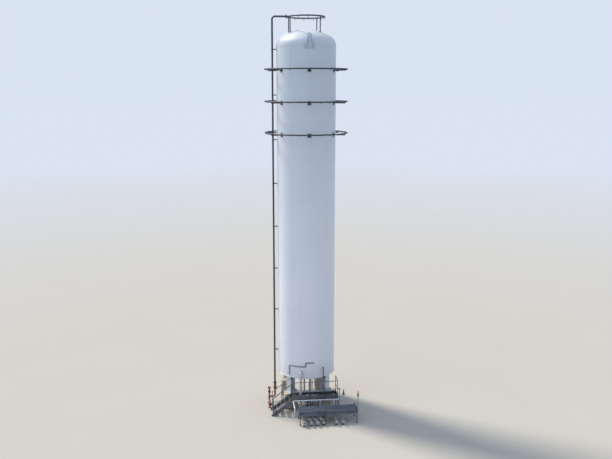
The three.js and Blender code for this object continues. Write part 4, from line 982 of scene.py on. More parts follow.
def gate_valve(foot, along, stem, length, radius, reach, finish):
    """A gate valve: end flanges, a swollen body, a bolted bonnet, a yoke, a stem and a hand wheel."""
    middle = foot + along * length / 2
    swell = ((0.55, 0.22), (0.68, 0.34), (0.72, 0.5), (0.68, 0.66), (0.55, 0.78))
    body = [(0, 0.02), (radius * 0.55, 0.02), *((radius * wide, length * far) for wide, far in swell),
            (radius * 0.55, length - 0.02), (0, length - 0.02)]
    bonnet = ((0, 0), (0.55, 0), (0.5, 0.36), (0.74, 0.38), (0.74, 0.47), (0.5, 0.49), (0.36, 0.56),
              (0, 0.56))
    neck = [(radius * wide, reach * far) for wide, far in bonnet]
    yoke_foot, yoke_head = middle + stem * reach * 0.5, middle + stem * reach * 0.84
    shift = along * radius * 0.3
    yoke = [([yoke_foot + shift * side, yoke_head + shift * side * 0.6], 0.012) for side in (-1, 1)]
    return [lathe(body, finish, foot, along, 28),
            *flange(foot, -along, radius, 0.028, finish, radius * 0.5),
            *flange(foot + along * length, along, radius, 0.028, finish, radius * 0.5),
            lathe(neck, finish, middle, stem, 28),
            nuts([(middle + stem * reach * 0.47, stem, radius * 0.62, radius * 0.09)]),
            bars(yoke, finish, 10),
            disc(middle + stem * reach * 0.82, stem, radius * 0.34, 0.022, finish, 20),
            bars([([yoke_foot, middle + stem * (reach + 0.03)], 0.013)], "bolts"),
            *hand_wheel(middle + stem * reach, stem, radius * 1.05, finish)]


def spray_supply():
    """The fire-water supply: from its open end along the ground, up to the valve, with an upright branch
    that a blind flange closes."""
    face = at(SUPPLY_X, SUPPLY_END_Y, SUPPLY_LEVEL)
    branch = at(SUPPLY_X, BRANCH_Y, SUPPLY_LEVEL)
    top = at(RISER.x, RISER.y, VALVE_FOOT - SEAT_GAP)
    run = [face + BACK * 0.13, at(SUPPLY_X, RISER.y, SUPPLY_LEVEL), at(RISER.x, RISER.y, SUPPLY_LEVEL), top]
    rim, thick = 0.104, 0.024
    meshes = [pipes([(run, RISER_RADIUS, 0.15)], "red"),
              bars([([branch, branch + UP * 0.84], BRANCH_RADIUS)], "red", 20),
              *open_flange(face, WATER_FLANGE, WATER_FLANGE_THICK, RISER_RADIUS * 0.8, finish="red"),
              *flange(top, UP, WATER_FLANGE, WATER_FLANGE_THICK, "red", RISER_RADIUS)]
    for height, way in ((0.565, UP), (0.566, -UP), (0.854, UP)):
        meshes += flange(branch + UP * height, way, rim, thick, "red", BRANCH_RADIUS)
    meshes += [disc(branch + UP * 0.855, UP, rim, thick, "red", 32),
               nuts([(branch + UP * (0.855 + thick), UP, 0.085, 0.012)])]
    for y in (-1.15, -0.38):
        meshes += [disc(at(SUPPLY_X, y, 0.004), UP, 0.034, SUPPLY_LEVEL - 0.024, "dark", 16),
                   disc(at(SUPPLY_X, y, 0), UP, 0.105, 0.014, "dark"),
                   nuts([(at(SUPPLY_X, y, 0.014), UP, 0.078, 0.011)], 4)]
    assemble("deluge_supply", "pipework", meshes)


def riser():
    """The riser: from the valve straight up, clamped to the shell, and bent over the crown."""
    x, y = RISER.x, RISER.y
    foot, joint = at(x, y, VALVE_FOOT + VALVE_LENGTH + SEAT_GAP), at(CROWN_JOINT_X, y, TOP_RING_LEVEL)
    meshes = [pipes([([foot, at(x, y, TOP_RING_LEVEL), joint], RISER_RADIUS, 0.19)], "zinc"),
              *flange(foot, DOWN, 0.12, WATER_FLANGE_THICK, "zinc", RISER_RADIUS),
              *flange(joint, RIGHT, CROWN_FLANGE, CROWN_FLANGE_THICK, "zinc", RISER_RADIUS)]
    half_arm = 0.025
    shell_x = -shell_depth(y + half_arm)
    for z in (3.6 + 2.75 * i for i in range(8)):
        meshes += [block(at(x + 0.03, y - half_arm, z), at(shell_x, y + half_arm, z + 0.06), "zinc", 0.003),
                   disc(at(x, y, z + 0.004), UP, RISER_RADIUS + 0.009, 0.052, "zinc")]
        for side in (-1, 1):
            near, far = sorted(y + side * (RISER_RADIUS + reach) for reach in (0.0, 0.048))
            bolt = at(x - 0.004, y + side * (RISER_RADIUS + 0.029), z + 0.03)
            meshes += [block(at(x - 0.004, near, z + 0.006), at(x + 0.02, far, z + 0.054), "zinc"),
                       nuts([(bolt, LEFT, 0, 0.011)], 1)]
    assemble("deluge_riser", "pipework", meshes)


def spray_ring(node, level, nozzle_count):
    """A spray ring: pipe round the tank on six bracket arms, held by U-bolts, its nozzles tipped in."""
    meshes = [bars([(ring_of_points(SPRAY_RING_RADIUS, level), SPRAY_RADIUS)], "zinc", 16, closed=True)]
    # An arm's lower flange, web, upper flange and seat plate, each by its opposite corners.
    arm = (((SEAT_RADIUS, -0.03, -0.104), (ARM_END, 0.03, -0.094)),
           ((SEAT_RADIUS, -0.005, -0.096), (ARM_END - 0.002, 0.005, -0.04)),
           ((SEAT_RADIUS, -0.03, -0.046), (ARM_END, 0.03, -0.036)),
           ((SEAT_RADIUS, -0.11, -0.19), (SEAT_RADIUS + 0.0137, 0.11, 0.05)))
    bows, bow_nuts, half = [], [], SPRAY_RADIUS + 0.0055
    rise = UP * level
    for degrees in range(30, 390, 60):
        meshes += [block(at(*low) + rise, at(*high) + rise, "zinc", 0.002, degrees) for low, high in arm]
        near, far = (polar(SPRAY_RING_RADIUS + way, degrees + 0.4, level) for way in (-half, half))
        bow = [near - UP * 0.068, near + UP * half, far + UP * half, far - UP * 0.068]
        bows.append((bow, 0.005, half - 0.001))
        bow_nuts += [(end - UP * 0.046, DOWN, 0, 0.008) for end in (near, far)]
        plate_face = polar(SEAT_RADIUS + 0.014, degrees, level - 0.07)
        meshes.append(nuts([(plate_face, way_round(degrees), 0.125, 0.013)], 4, 45))
    branch = [at(RISER.x - RISER_RADIUS - 0.004, RISER.y, level), at(-SPRAY_RING_RADIUS, RISER.y, level)]
    meshes += [pipes(bows, "bolts", 8, 5), nuts(bow_nuts, 1),
               bars([(branch, SPRAY_RADIUS - 0.004)], "zinc", 16),
               *flange(branch[0] + RIGHT * 0.0015, RIGHT, 0.09, 0.022, "zinc", SPRAY_RADIUS),
               nozzles(SPRAY_RING_RADIUS, level, nozzle_count, 62)]
    assemble(node, "pipework", meshes)


def top_spray_ring(nozzle_count):
    """The small ring over the crown, on four posts with pads on the head, its nozzles turned down."""
    ring = ring_of_points(TOP_RING_RADIUS, TOP_RING_LEVEL, 72)
    meshes = [bars([(ring, SPRAY_RADIUS)], "zinc", 16, closed=True)]
    rise = HEAD_DEPTH * math.sqrt(1 - (TOP_RING_RADIUS / SHELL_RADIUS) ** 2)
    for degrees in TOP_RING_POSTS:
        foot, head = (polar(TOP_RING_RADIUS, degrees, z) for z in (HEAD_RIM + rise, TOP_RING_LEVEL))
        slope = way_round(degrees) * TOP_RING_RADIUS / SHELL_RADIUS ** 2 + UP * rise / HEAD_DEPTH ** 2
        slope.normalize()
        meshes += [bars([([foot + UP * 0.006, head], 0.032)], "zinc", 16),
                   disc(foot + slope * SEAT_GAP, slope, 0.085, 0.012, "zinc"),
                   disc(head - UP * 0.07, UP, 0.042, 0.04, "zinc", 16)]
    inlet = at(CROWN_JOINT_X + SEAT_GAP, RISER.y, TOP_RING_LEVEL)
    stub = [inlet, at(0.02 - TOP_RING_RADIUS, RISER.y, TOP_RING_LEVEL)]
    meshes += [bars([(stub, SPRAY_RADIUS - 0.004)], "zinc", 16),
               *flange(inlet, LEFT, CROWN_FLANGE, CROWN_FLANGE_THICK, "zinc", SPRAY_RADIUS),
               nozzles(TOP_RING_RADIUS, TOP_RING_LEVEL, nozzle_count, -20)]
    assemble("top_spray_ring", "pipework", meshes)


class TANK_OT_spray_water(bpy.types.Operator):
    """Builds the fire-water supply, its valve, the riser and the four spray rings"""
    bl_idname = "tank.spray_water"
    bl_label = "Spray-water pipework"

    def execute(self, context):
        spray = context.scene.tank_spray
        spray_supply()
        foot = at(RISER.x, RISER.y, VALVE_FOOT)
        valve = gate_valve(foot, UP, FRONT, VALVE_LENGTH, WATER_FLANGE, 0.3, "red")
        assemble("deluge_valve", "castings", valve)
        riser()
        for node, level in SPRAY_LEVELS.items():
            spray_ring(node, level, spray.ring_nozzles)
        top_spray_ring(spray.crown_nozzles)
        return {"FINISHED"}


# Platform and stair


def channel(low, high, open_to, lap=0.0):
    """An edge channel: two flanges that open towards open_to, and between them a web, longer at both ends
    by lap."""
    thick = 0.008
    across, along = (1, 0) if open_to.y else (0, 1)
    meshes = [block(low, (high.x, high.y, low.z + thick), "grey"),
              block((low.x, low.y, high.z - thick), high, "grey")]
    low, high = low + UP * thick, high - UP * thick
    low[along] -= lap
    high[along] += lap
    if open_to[across] > 0:
        high[across] = low[across] + thick
    else:
        low[across] = high[across] - thick
    return [*meshes, block(low, high, "grey")]


def platform_frame():
    """Edge channels and cross channels on six box posts, with bolted foot plates."""
    top = DECK_UNDER - SEAT_GAP
    bottom, deep = top - 0.12, 0.05
    front, back = DECK_FRONT + deep, DECK_BACK - deep
    meshes = channel(at(DECK_LEFT, DECK_FRONT, bottom), at(DECK_RIGHT, front, top), BACK)
    meshes += channel(at(DECK_LEFT, back, bottom), at(DECK_RIGHT, DECK_BACK, top), FRONT)
    anchors = []
    for x, way in ((DECK_LEFT, RIGHT), (0.1, RIGHT), (DECK_RIGHT - deep, LEFT)):
        meshes += channel(at(x, front, bottom), at(x + deep, back, top), way, deep - 0.008)
        for y, plate_back in ((DECK_FRONT, DECK_FRONT + 0.09), (DECK_BACK - 0.06, DECK_BACK)):
            meshes += [block(at(x, y, 0.01), at(x + 0.06, y + 0.06, bottom), "grey", 0.004),
                       block(at(x - 0.03, y - 0.03, 0), at(x + 0.09, plate_back, 0.012), "grey")]
            anchors += [(at(x + dx, y - 0.013, 0.012), UP, 0, 0.009) for dx in (-0.013, 0.073)]
    assemble("platform_frame", "channels", [*meshes, nuts(anchors, 1)])


def grating_panel(corner, length, width, depth, grating):
    """A banded panel of grating whose top has one corner at a place."""
    values = {"Corner": corner, "Length": length, "Width": width, "Depth": depth,
              "Bars": max(2, int(length / grating.bar_pitch) + 1),
              "Rods": max(2, int(width / grating.rod_pitch) + 1), "Bar Thickness": grating.bar_thickness}
    return grown("grating", None, "grating", values)


def platform_deck(grating):
    """The deck: banded panels of bar grating, cut round the two pipes that come up through it."""
    gap, middle_joint = 0.004, 0.125
    panels, edge = [], DECK_LEFT
    for x, y, radius in ((FILL_X, FILL_UPRIGHT_Y, FILL_RADIUS), (OVERFLOW_X, OVERFLOW_Y, OVERFLOW_RADIUS)):
        half = radius + 0.045
        left, right = x - half, x + half
        joint = max(edge, middle_joint) if x > middle_joint else edge
        panels += [(edge, joint, DECK_FRONT, DECK_BACK), (joint, left, DECK_FRONT, DECK_BACK),
                   (left, right, DECK_FRONT, y - half), (left, right, y + half, DECK_BACK)]
        edge = right
    panels.append((edge, DECK_RIGHT, DECK_FRONT, DECK_BACK))
    meshes = [grating_panel(at(x0 + gap, y0 + gap, DECK_TOP), x1 - x0 - 2 * gap, y1 - y0 - 2 * gap,
                            DECK_TOP - DECK_UNDER, grating)
              for x0, x1, y0, y1 in panels if x1 > x0]
    assemble("platform_deck", "grating", meshes)


def handrail(start, end, posts, drop):
    """Top rail, knee rail and posts along a line, with the swollen joints where they meet. Each post is
    given by its share of the way, and goes down past the line by drop."""
    knee = RAIL_HEIGHT / 2
    lines = [([start + UP * height, end + UP * height], radius)
             for height, radius in ((RAIL_HEIGHT, RAIL_RADIUS), (knee, RAIL_RADIUS - 0.006))]
    feet = [start.lerp(end, share) for share in posts]
    lines += [([foot - UP * drop, foot + UP * RAIL_HEIGHT], RAIL_RADIUS) for foot in feet]
    half = [(0.0285, 0.011), (0.017, 0.0255), (0.0, 0.03)]
    profile = [*((radius, -z) for radius, z in reversed(half)), *half]
    joints = [lathe(profile, "grey", foot + UP * height, sides=12)
              for foot in feet for height in (RAIL_HEIGHT, knee)]
    return [bars(lines, "grey", 14), *joints]


def platform_railing():
    """The railing along the platform's front and right on bolted post feet, and the kick plates round it."""
    inset, level = 0.04, DECK_TOP + SEAT_GAP
    left, right, front, back = DECK_LEFT + inset, DECK_RIGHT - inset, DECK_FRONT + inset, DECK_BACK - inset
    corner = at(right, front, level)
    meshes = []
    for start, end, posts in ((at(left, front, level), corner, (0, 1 / 3, 2 / 3, 1)),
                              (corner, at(right, back, level), (1,))):
        meshes += handrail(start, end, posts, -0.003)
        for foot in (start.lerp(end, share) for share in posts):
            meshes += [block(foot - Vector((0.039, 0.039, 0)), foot + Vector((0.039, 0.039, 0.008)), "grey"),
                       nuts([(foot + UP * 0.008, UP, 0.042, 0.007)], 4, 45)]
    half = 0.004
    for x0, x1, y0, y1, paint in ((left, right, front - half, front + half, "grey"),
                                  (right - half, right + half, front, back, "grey"),
                                  (left, right, back - half, back + half, "pale")):
        meshes.append(block(at(x0, y0, level + 0.01), at(x1, y1, level + 0.11), paint))
    for share in (-1, -0.36, 0.3):
        foot = at((DECK_RIGHT + DECK_LEFT + (DECK_RIGHT - DECK_LEFT - 0.12) * share) / 2, back, level)
        meshes += [block(foot + Vector((-0.019, -0.01, 0.003)), foot + Vector((0.019, -0.003, 0.07)), "pale"),
                   block(foot + Vector((-0.02, -0.024, 0)), foot + Vector((0.02, -0.003, 0.007)), "pale"),
                   nuts([(foot + Vector((0, -0.01, 0.045)), FRONT, 0, 0.0075)], 1)]
    assemble("platform_railing", "rails", meshes)


def stair_flight(grating):
    """The stair: two plate stringers, and between them grating treads with side plates and a solid nosing."""
    going = (DECK_LEFT - STAIR_FOOT_X - 0.06) / (STAIR_STEPS - 1)
    rise = DECK_TOP / STAIR_STEPS
    low, high = STAIR_FOOT_X - 0.06, DECK_TOP - 0.02
    outline = [(low, 0), (low + 0.25, 0), (DECK_LEFT - SEAT_GAP, high - 0.26), (DECK_LEFT - SEAT_GAP, high),
               (DECK_LEFT - 0.06, high), (low, 0.11)]
    thick, deep, nosing = 0.012, going + 0.02, 0.035
    front, back = DECK_FRONT + thick + 0.0085, DECK_BACK - thick - 0.0085
    meshes = [plate(outline, thick, "grey", standing(at(0, y, 0))) for y in (DECK_FRONT + thick, DECK_BACK)]
    bolts = []
    for i in range(1, STAIR_STEPS):
        x, z = DECK_LEFT - 0.03 - (STAIR_STEPS - i) * going, i * rise
        corner = at(x + nosing, front, z)
        meshes += [grating_panel(corner, deep - nosing - 0.006, back - front, 0.036, grating),
                   block(at(x, front, z - 0.03), at(x + nosing, back, z), "grating", 0.004)]
        for face, way in ((DECK_FRONT, FRONT), (DECK_BACK, BACK)):
            bolts += [(at(x + deep * share, face, z - 0.02), way, 0, 0.009) for share in (0.3, 0.75)]
            near, far = sorted(face - way.y * gap for gap in (thick + 0.0001, 0.02))
            meshes.append(block(at(x, near, z - 0.036), at(x + deep, far, z), "grey"))
    assemble("stair_flight", "treads", [*meshes, nuts(bolts, 1)])


def stair_rail(node, face, way):
    """A stair's handrail, its posts bolted outside the stringer."""
    out = way.y
    y = face + out * (RAIL_RADIUS + 0.008)
    near, far = sorted((face + out * SEAT_GAP, y))
    foot, head = at(STAIR_FOOT_X + 0.06, y, 0.19), at(DECK_LEFT - 0.09, y, DECK_TOP)
    posts = (0, 0.5, 1)
    meshes = handrail(foot, head, posts, 0.055)
    for share in posts:
        x, _, z = foot.lerp(head, share) - AXIS
        bolts = [(at(x, y + out * 0.0195, z + up), way, 0, 0.008) for up in (-0.042, 0.004)]
        meshes += [block(at(x - 0.032, near, z - 0.06), at(x + 0.032, far, z + 0.02), "grey"), nuts(bolts, 1)]
    assemble(node, "rail", meshes)


class TANK_OT_platform(bpy.types.Operator):
    """Builds the valve platform, its grating and railing, and the stair with its rails"""
    bl_idname = "tank.platform"
    bl_label = "Platform and stair"

    def execute(self, context):
        grating = context.scene.tank_grating
        platform_frame()
        platform_deck(grating)
        platform_railing()
        stair_flight(grating)
        stair_rail("stair_rail_front", DECK_FRONT, FRONT)
        stair_rail("stair_rail_back", DECK_BACK, BACK)
        return {"FINISHED"}


# Vaporizer


def vaporizer_row(node, level, fins):
    """A row of finned tubes, with bare ends and return bends."""
    bare = 0.13
    values = {"Start": at(TUBES_LEFT + bare, TUBES_BACK, level), "Step": FRONT * TUBE_PITCH,
              "Tubes": TUBES_IN_ROW, "Length": TUBES_RIGHT - TUBES_LEFT - 2 * bare, "Fins": fins.count,
              "Reach": FIN_REACH - FIN_BEAD, "Thickness": fins.thickness}
    tubes = [TUBES_BACK - i * TUBE_PITCH for i in range(TUBES_IN_ROW)]
    straight = [([at(TUBES_LEFT, y, level), at(TUBES_RIGHT, y, level)], TUBE_RADIUS) for y in tubes]
    bent = []
    for i, y in enumerate(tubes[:-1]):
        end, out = (TUBES_RIGHT, 1) if i % 2 else (TUBES_LEFT, -1)
        near, far = end - 0.01 * out, end + 0.07 * out
        corners = ((near, y), (far, y), (far, y - TUBE_PITCH), (near, y - TUBE_PITCH))
        bent.append(([at(*corner, level) for corner in corners], TUBE_RADIUS - 0.001, 0.07))
    meshes = [grown("fins", None, "fins", values), bars(straight, "fins", 16), pipes(bent, "fins", 16)]
    meshes += [disc(at(x, y, level), RIGHT, 0.026, 0.022, "fins", 16)
               for y in tubes for x in (TUBES_LEFT + 0.012, TUBES_RIGHT - 0.034)]
    assemble(node, "fins", meshes)


def vaporizer_frame(node, x, under_levels, top):
    """A frame of the vaporizer: two square posts on bolted feet, and bars under the rows and on top."""
    wide, deep = 0.05, 0.04
    front, back = TUBES_FRONT - 0.1 - wide, TUBES_BACK + 0.1
    meshes, anchors = [], []
    for y in (front, back):
        meshes += [block(at(x, y, 0.01), at(x + wide, y + wide, top - deep), "dark", 0.004),
                   block(at(x - 0.035, y - 0.035, 0), at(x + 0.085, y + 0.085, 0.012), "dark")]
        anchors += [(at(x + dx, y + wide / 2, 0.012), UP, 0, 0.009) for dx in (-0.02, 0.07)]
    meshes.append(block(at(x, front, top - deep), at(x + wide, back + wide, top), "dark", 0.003))
    for under in under_levels:
        low, high = at(x + 0.005, front + 0.04, under - 0.045), at(x + 0.045, back + 0.01, under)
        meshes.append(block(low, high, "dark", 0.003))
    assemble(node, "bars", [*meshes, nuts(anchors, 1)])


class TANK_OT_vaporizer(bpy.types.Operator):
    """Builds the vaporizer's two rows of finned tubes and its three frames"""
    bl_idname = "tank.vaporizer"
    bl_label = "Vaporizer"

    def execute(self, context):
        top = ROW_LEVELS["vaporizer_row_upper"] + 0.13
        bare_seats = [level - TUBE_RADIUS - SEAT_GAP for level in ROW_LEVELS.values()]
        under_fins = ROW_LEVELS["vaporizer_row_lower"] - FIN_REACH - SEAT_GAP
        for node, level in ROW_LEVELS.items():
            vaporizer_row(node, level, context.scene.tank_fins)
        vaporizer_frame("vaporizer_frame_left", TUBES_LEFT + 0.04, bare_seats, top)
        vaporizer_frame("vaporizer_frame_right", TUBES_RIGHT - 0.09, bare_seats, top)
        vaporizer_frame("vaporizer_frame_middle", 0.73, [under_fins], top)
        return {"FINISHED"}


# Pipes at the foot


def stools(x, radius, places):
    """Stools under a low pipe: each a post on a bolted foot plate, with a saddle strap round the pipe."""
    meshes = []
    for y in places:
        meshes += [block(at(x - 0.075, y - 0.075, 0), at(x + 0.075, y + 0.075, 0.012), "dark"),
                   block(at(x - 0.032, y - 0.032, 0.01), at(x + 0.032, y + 0.032, LOW_PIPE - radius * 0.7),
                         "dark", 0.003),
                   disc(at(x, y - 0.02, LOW_PIPE), BACK, radius + 0.006, 0.04, "dark"),
                   nuts([(at(x, y, 0.012), UP, 0.082, 0.009)], 4, 45)]
    return meshes


def jacketed(corners, radius, bend=0.09):
    """A jacketed pipe and the bands round it."""
    path = [(corners, radius, bend)]
    bands = grown("bands", wires(path), "bolts", {"Spacing": 0.5, "Width": 0.02})
    return [pipes(path, "jacket", 28, 5), bands]


def front_end(x, radius, *stool_places):
    """The open flange where a low pipe stops at the front, the ring that closes its jacket behind it, and
    its stools."""
    bolts = 4 if radius < 0.05 else 8
    face = at(x, PIPE_END_Y, LOW_PIPE)
    return [*open_flange(face, radius + COLD_RIM, COLD_FLANGE_THICK, radius * 0.6, bolts),
            disc(at(x, JACKET_END - 0.002, LOW_PIPE), BACK, radius + 0.002, 0.016, "bolts", 28, 0.002),
            *stools(x, radius, stool_places)]


def rolled_pad(x, z, radius):
    """A round pad rolled to the shell's curve, where a pipe goes in at the front."""
    thick = 0.012
    profile = [(0, 0), (radius / 2, 0), (radius, 0), (radius, thick), (radius / 2, thick), (0, thick)]
    pad = lathe(profile, "white", Vector((x, 0, z)), FRONT, 32)
    for corner in pad.vertices:
        depth = SEAT_RADIUS - corner.co.y
        corner.co = at(corner.co.x, -math.sqrt(depth ** 2 - corner.co.x ** 2), corner.co.z)
    return pad


def seat_flange(x, y, radius):
    """The flange at the top of a pipe, under the tank's nozzle."""
    return flange(at(x, y, NOZZLE_SEAT), UP, radius + 0.045, 0.026, "stainless", radius * 0.8)


def relief_valve(foot, radius):
    """A relief valve: flange, inlet, side outlet, spring housing, cap and lifting lever."""
    housing = ((0.75, 0.034), (0.7, 0.06), (1, 0.08), (1, 0.14), (0.7, 0.16), (0.62, 0.225), (0.7, 0.235),
               (0.7, 0.25), (0.48, 0.255), (0.45, 0.32), (0.25, 0.33), (0, 0.33))
    rim = radius + 0.04
    profile = [(0, 0), (rim, 0), (rim, 0.03), *((radius * wide, z) for wide, z in housing)]
    outlet = foot + UP * 0.1
    lever = [foot + Vector((-0.02, 0, 0.3)), foot + Vector((radius * 0.9, 0, 0.31))]
    return [lathe(profile, "dark", foot), disc(outlet, BACK, radius * 0.62, 0.1, "dark", 20),
            disc(outlet + BACK * 0.1, BACK, radius * 0.75, 0.02, "dark", 20),
            nuts([(foot + UP * 0.03, UP, radius + 0.022, 0.011)], 6), bars([(lever, 0.006)], "bolts", 8)]


def low_run(x, end_y, radius, bend):
    """A jacketed pipe from a nozzle under the tank down, and along towards the front, with its flange."""
    corners = [at(x, NOZZLE_Y, NOZZLE_SEAT - 0.02), at(x, NOZZLE_Y, LOW_PIPE), at(x, end_y, LOW_PIPE)]
    return jacketed(corners, radius, bend) + seat_flange(x, NOZZLE_Y, radius)


def valve_flange(y, out):
    """The liquid line's flange before or behind its valve."""
    face = at(LIQUID_X, y, LOW_PIPE)
    return flange(face, out, LIQUID_RADIUS + COLD_RIM, COLD_FLANGE_THICK, "stainless", LIQUID_RADIUS * 0.8)


def liquid_line():
    """The liquid line from the tank to its valve."""
    end = LIQUID_VALVE_Y + SEAT_GAP
    meshes = low_run(LIQUID_X, end, LIQUID_RADIUS, 0.17) + valve_flange(end, FRONT)
    assemble("liquid_line", "jacket", meshes)


def liquid_valve():
    """The liquid line's gate valve, its stem upright."""
    foot = at(LIQUID_X, LIQUID_VALVE_Y, LOW_PIPE)
    valve = gate_valve(foot, FRONT, UP, LIQUID_VALVE_LENGTH, LIQUID_RADIUS + COLD_RIM, 0.33, "dark")
    assemble("liquid_valve", "castings", valve)


def liquid_outlet():
    """The liquid line's stub from its valve to the front."""
    start = LIQUID_VALVE_Y - LIQUID_VALVE_LENGTH - SEAT_GAP
    corners = [at(LIQUID_X, start - 0.01, LOW_PIPE), at(LIQUID_X, JACKET_END, LOW_PIPE)]
    meshes = jacketed(corners, LIQUID_RADIUS) + valve_flange(start, BACK)
    meshes += front_end(LIQUID_X, LIQUID_RADIUS, STOOL_BACK, STOOL_FRONT)
    assemble("liquid_outlet", "jacket", meshes)


def return_line():
    """The return line, from the tank to the front beside the liquid line."""
    meshes = low_run(RETURN_X, JACKET_END, RETURN_RADIUS, 0.19)
    meshes += front_end(RETURN_X, RETURN_RADIUS, STOOL_BACK, STOOL_FRONT)
    assemble("return_line", "jacket", meshes)


def fill_line():
    """The fill line: low from the front, up through the deck, and back into the shell."""
    shell_y = -shell_depth(FILL_X)
    corners = [at(FILL_X, JACKET_END, LOW_PIPE), at(FILL_X, FILL_UPRIGHT_Y, LOW_PIPE),
               at(FILL_X, FILL_UPRIGHT_Y, FILL_TOP), at(FILL_X, shell_y - 0.02, FILL_TOP)]
    meshes = jacketed(corners, FILL_RADIUS, 0.13)
    meshes += front_end(FILL_X, FILL_RADIUS, STOOL_BACK, STOOL_FRONT)
    meshes += [rolled_pad(FILL_X, FILL_TOP, FILL_RADIUS + 0.06),
               disc(at(FILL_X, shell_y - 0.05, FILL_TOP), BACK, FILL_RADIUS + 0.012, 0.07, "white", 32)]
    assemble("fill_line", "jacket", meshes)


def overflow_line():
    """The overflow: a thin dark pipe out of the shell and down through the deck, then a jacketed low run."""
    x, y, turn_y = OVERFLOW_X, OVERFLOW_Y, OVERFLOW_Y - 0.6
    shell_y = -shell_depth(x)
    bare = [at(x, shell_y - 0.004, OVERFLOW_TOP), at(x, y, OVERFLOW_TOP), at(x, y, 0.46)]
    low = [at(x, y, 0.5), at(x, y, LOW_PIPE), at(x, turn_y, LOW_PIPE), at(OVERFLOW_END_X, turn_y, LOW_PIPE),
           at(OVERFLOW_END_X, JACKET_END, LOW_PIPE)]
    meshes = [pipes([(bare, OVERFLOW_RADIUS - 0.004, 0.09)], "zinc", 16), *jacketed(low, OVERFLOW_RADIUS),
              rolled_pad(x, OVERFLOW_TOP, 0.075),
              disc(at(x, shell_y - 0.06, OVERFLOW_TOP), BACK, 0.038, 0.075, "zinc", 20)]
    meshes += [disc(at(x, y, z - 0.012), UP, OVERFLOW_RADIUS + 0.004, 0.024, "bolts", 20) for z in (0.5, 1.9)]
    meshes += front_end(OVERFLOW_END_X, OVERFLOW_RADIUS, STOOL_FRONT)
    assemble("overflow_line", "pipework", meshes)


def tube_ends(pipe_x, tube_x, y):
    """The short bare tubes between an upright pipe and the two rows."""
    ends = [([at(pipe_x, y, z), at(tube_x, y, z)], TUBE_RADIUS) for z in ROW_LEVELS.values()]
    return bars(ends, "fins", 16)


def gas_line():
    """The gas line: from the vaporizer's outlet along behind it to a relief valve, with its branches."""
    low_level = 0.64
    run = [at(GAS_LEFT_X, TUBES_FRONT, 0.52), at(GAS_LEFT_X, TUBES_FRONT, GAS_LEVEL),
           at(GAS_LEFT_X, GAS_Y, GAS_LEVEL), at(VENT_X, GAS_Y, GAS_LEVEL), at(VENT_X, GAS_Y, 1.4)]
    to_tank = [at(GAS_X, GAS_Y, GAS_LEVEL), at(GAS_X, GAS_Y, low_level), at(GAS_X, NOZZLE_Y, low_level),
               at(GAS_X, NOZZLE_Y, NOZZLE_SEAT - 0.02)]
    to_front = [at(GAS_OUTLET_X, GAS_Y, GAS_LEVEL), at(GAS_OUTLET_X, GAS_Y, LOW_PIPE),
                at(GAS_OUTLET_X, JACKET_END, LOW_PIPE)]
    meshes = [*jacketed(run, GAS_RADIUS), *jacketed(to_tank, GAS_RADIUS),
              *jacketed(to_front, GAS_OUTLET_RADIUS),
              tube_ends(GAS_LEFT_X, TUBES_LEFT - SEAT_GAP, TUBES_FRONT),
              disc(at(GAS_LEFT_X, TUBES_FRONT, 0.514), UP, GAS_RADIUS + 0.003, 0.03, "bolts", 28)]
    meshes += seat_flange(GAS_X, NOZZLE_Y, GAS_RADIUS)
    meshes += front_end(GAS_OUTLET_X, GAS_OUTLET_RADIUS, STOOL_FRONT)
    meshes += relief_valve(at(VENT_X, GAS_Y, 1.388), GAS_RADIUS)
    assemble("vaporizer_gas_line", "jacket", meshes)


def feed_line():
    """The liquid feed: down from the tank, forward and right under the platform, up beside the rows."""
    corners = ((FEED_X, FEED_Y, NOZZLE_SEAT - 0.02), (FEED_X, FEED_Y, FEED_LEVEL),
               (FEED_X, FEED_TURN_Y, FEED_LEVEL), (FEED_RIGHT_X, FEED_TURN_Y, FEED_LEVEL),
               (FEED_RIGHT_X, TUBES_BACK, FEED_LEVEL), (FEED_RIGHT_X, TUBES_BACK, 1.44))
    meshes = jacketed([at(*corner) for corner in corners], FEED_RADIUS)
    meshes += seat_flange(FEED_X, FEED_Y, FEED_RADIUS)
    meshes.append(tube_ends(FEED_RIGHT_X, TUBES_RIGHT + SEAT_GAP, TUBES_BACK))
    meshes += relief_valve(at(FEED_RIGHT_X, TUBES_BACK, 1.428), FEED_RADIUS)
    assemble("vaporizer_feed_line", "jacket", meshes)


def drain_line():
    """The drain: a capped upright clamped to the gas line, with its low run to the front."""
    x, y = DRAIN_X, DRAIN_Y
    meshes = jacketed([at(x, y, 1.7), at(x, y, LOW_PIPE), at(x, JACKET_END, LOW_PIPE)], FEED_RADIUS)
    meshes += front_end(x, FEED_RADIUS, STOOL_FRONT)
    meshes += flange(at(x, y, 1.73), UP, FEED_RADIUS + 0.04, 0.026, "dark", FEED_RADIUS * 0.8)
    inner = GAS_RADIUS + 2 * SEAT_GAP
    outer = inner + 0.022
    for side in (-0.03, 0.022):
        strap = [(inner, side), (outer, side), (outer, side + 0.008), (inner, side + 0.008)]
        meshes.append(lathe(strap, "dark", at(x, GAS_Y, GAS_LEVEL), RIGHT, 28, True))
    meshes.append(block(at(x - 0.028, GAS_Y + inner + 0.002, GAS_LEVEL - 0.03),
                        at(x + 0.028, y + 0.01, GAS_LEVEL + 0.03), "dark", 0.003))
    assemble("drain_line", "jacket", meshes)


class TANK_OT_foot_pipes(bpy.types.Operator):
    """Builds the liquid, return, fill, overflow, gas, feed and drain lines at the tank's foot"""
    bl_idname = "tank.foot_pipes"
    bl_label = "Pipes at the foot"

    def execute(self, context):
        for build in (liquid_line, liquid_valve, liquid_outlet, return_line, fill_line, overflow_line,
                      gas_line, feed_line, drain_line):
            build()
        return {"FINISHED"}


# Stage


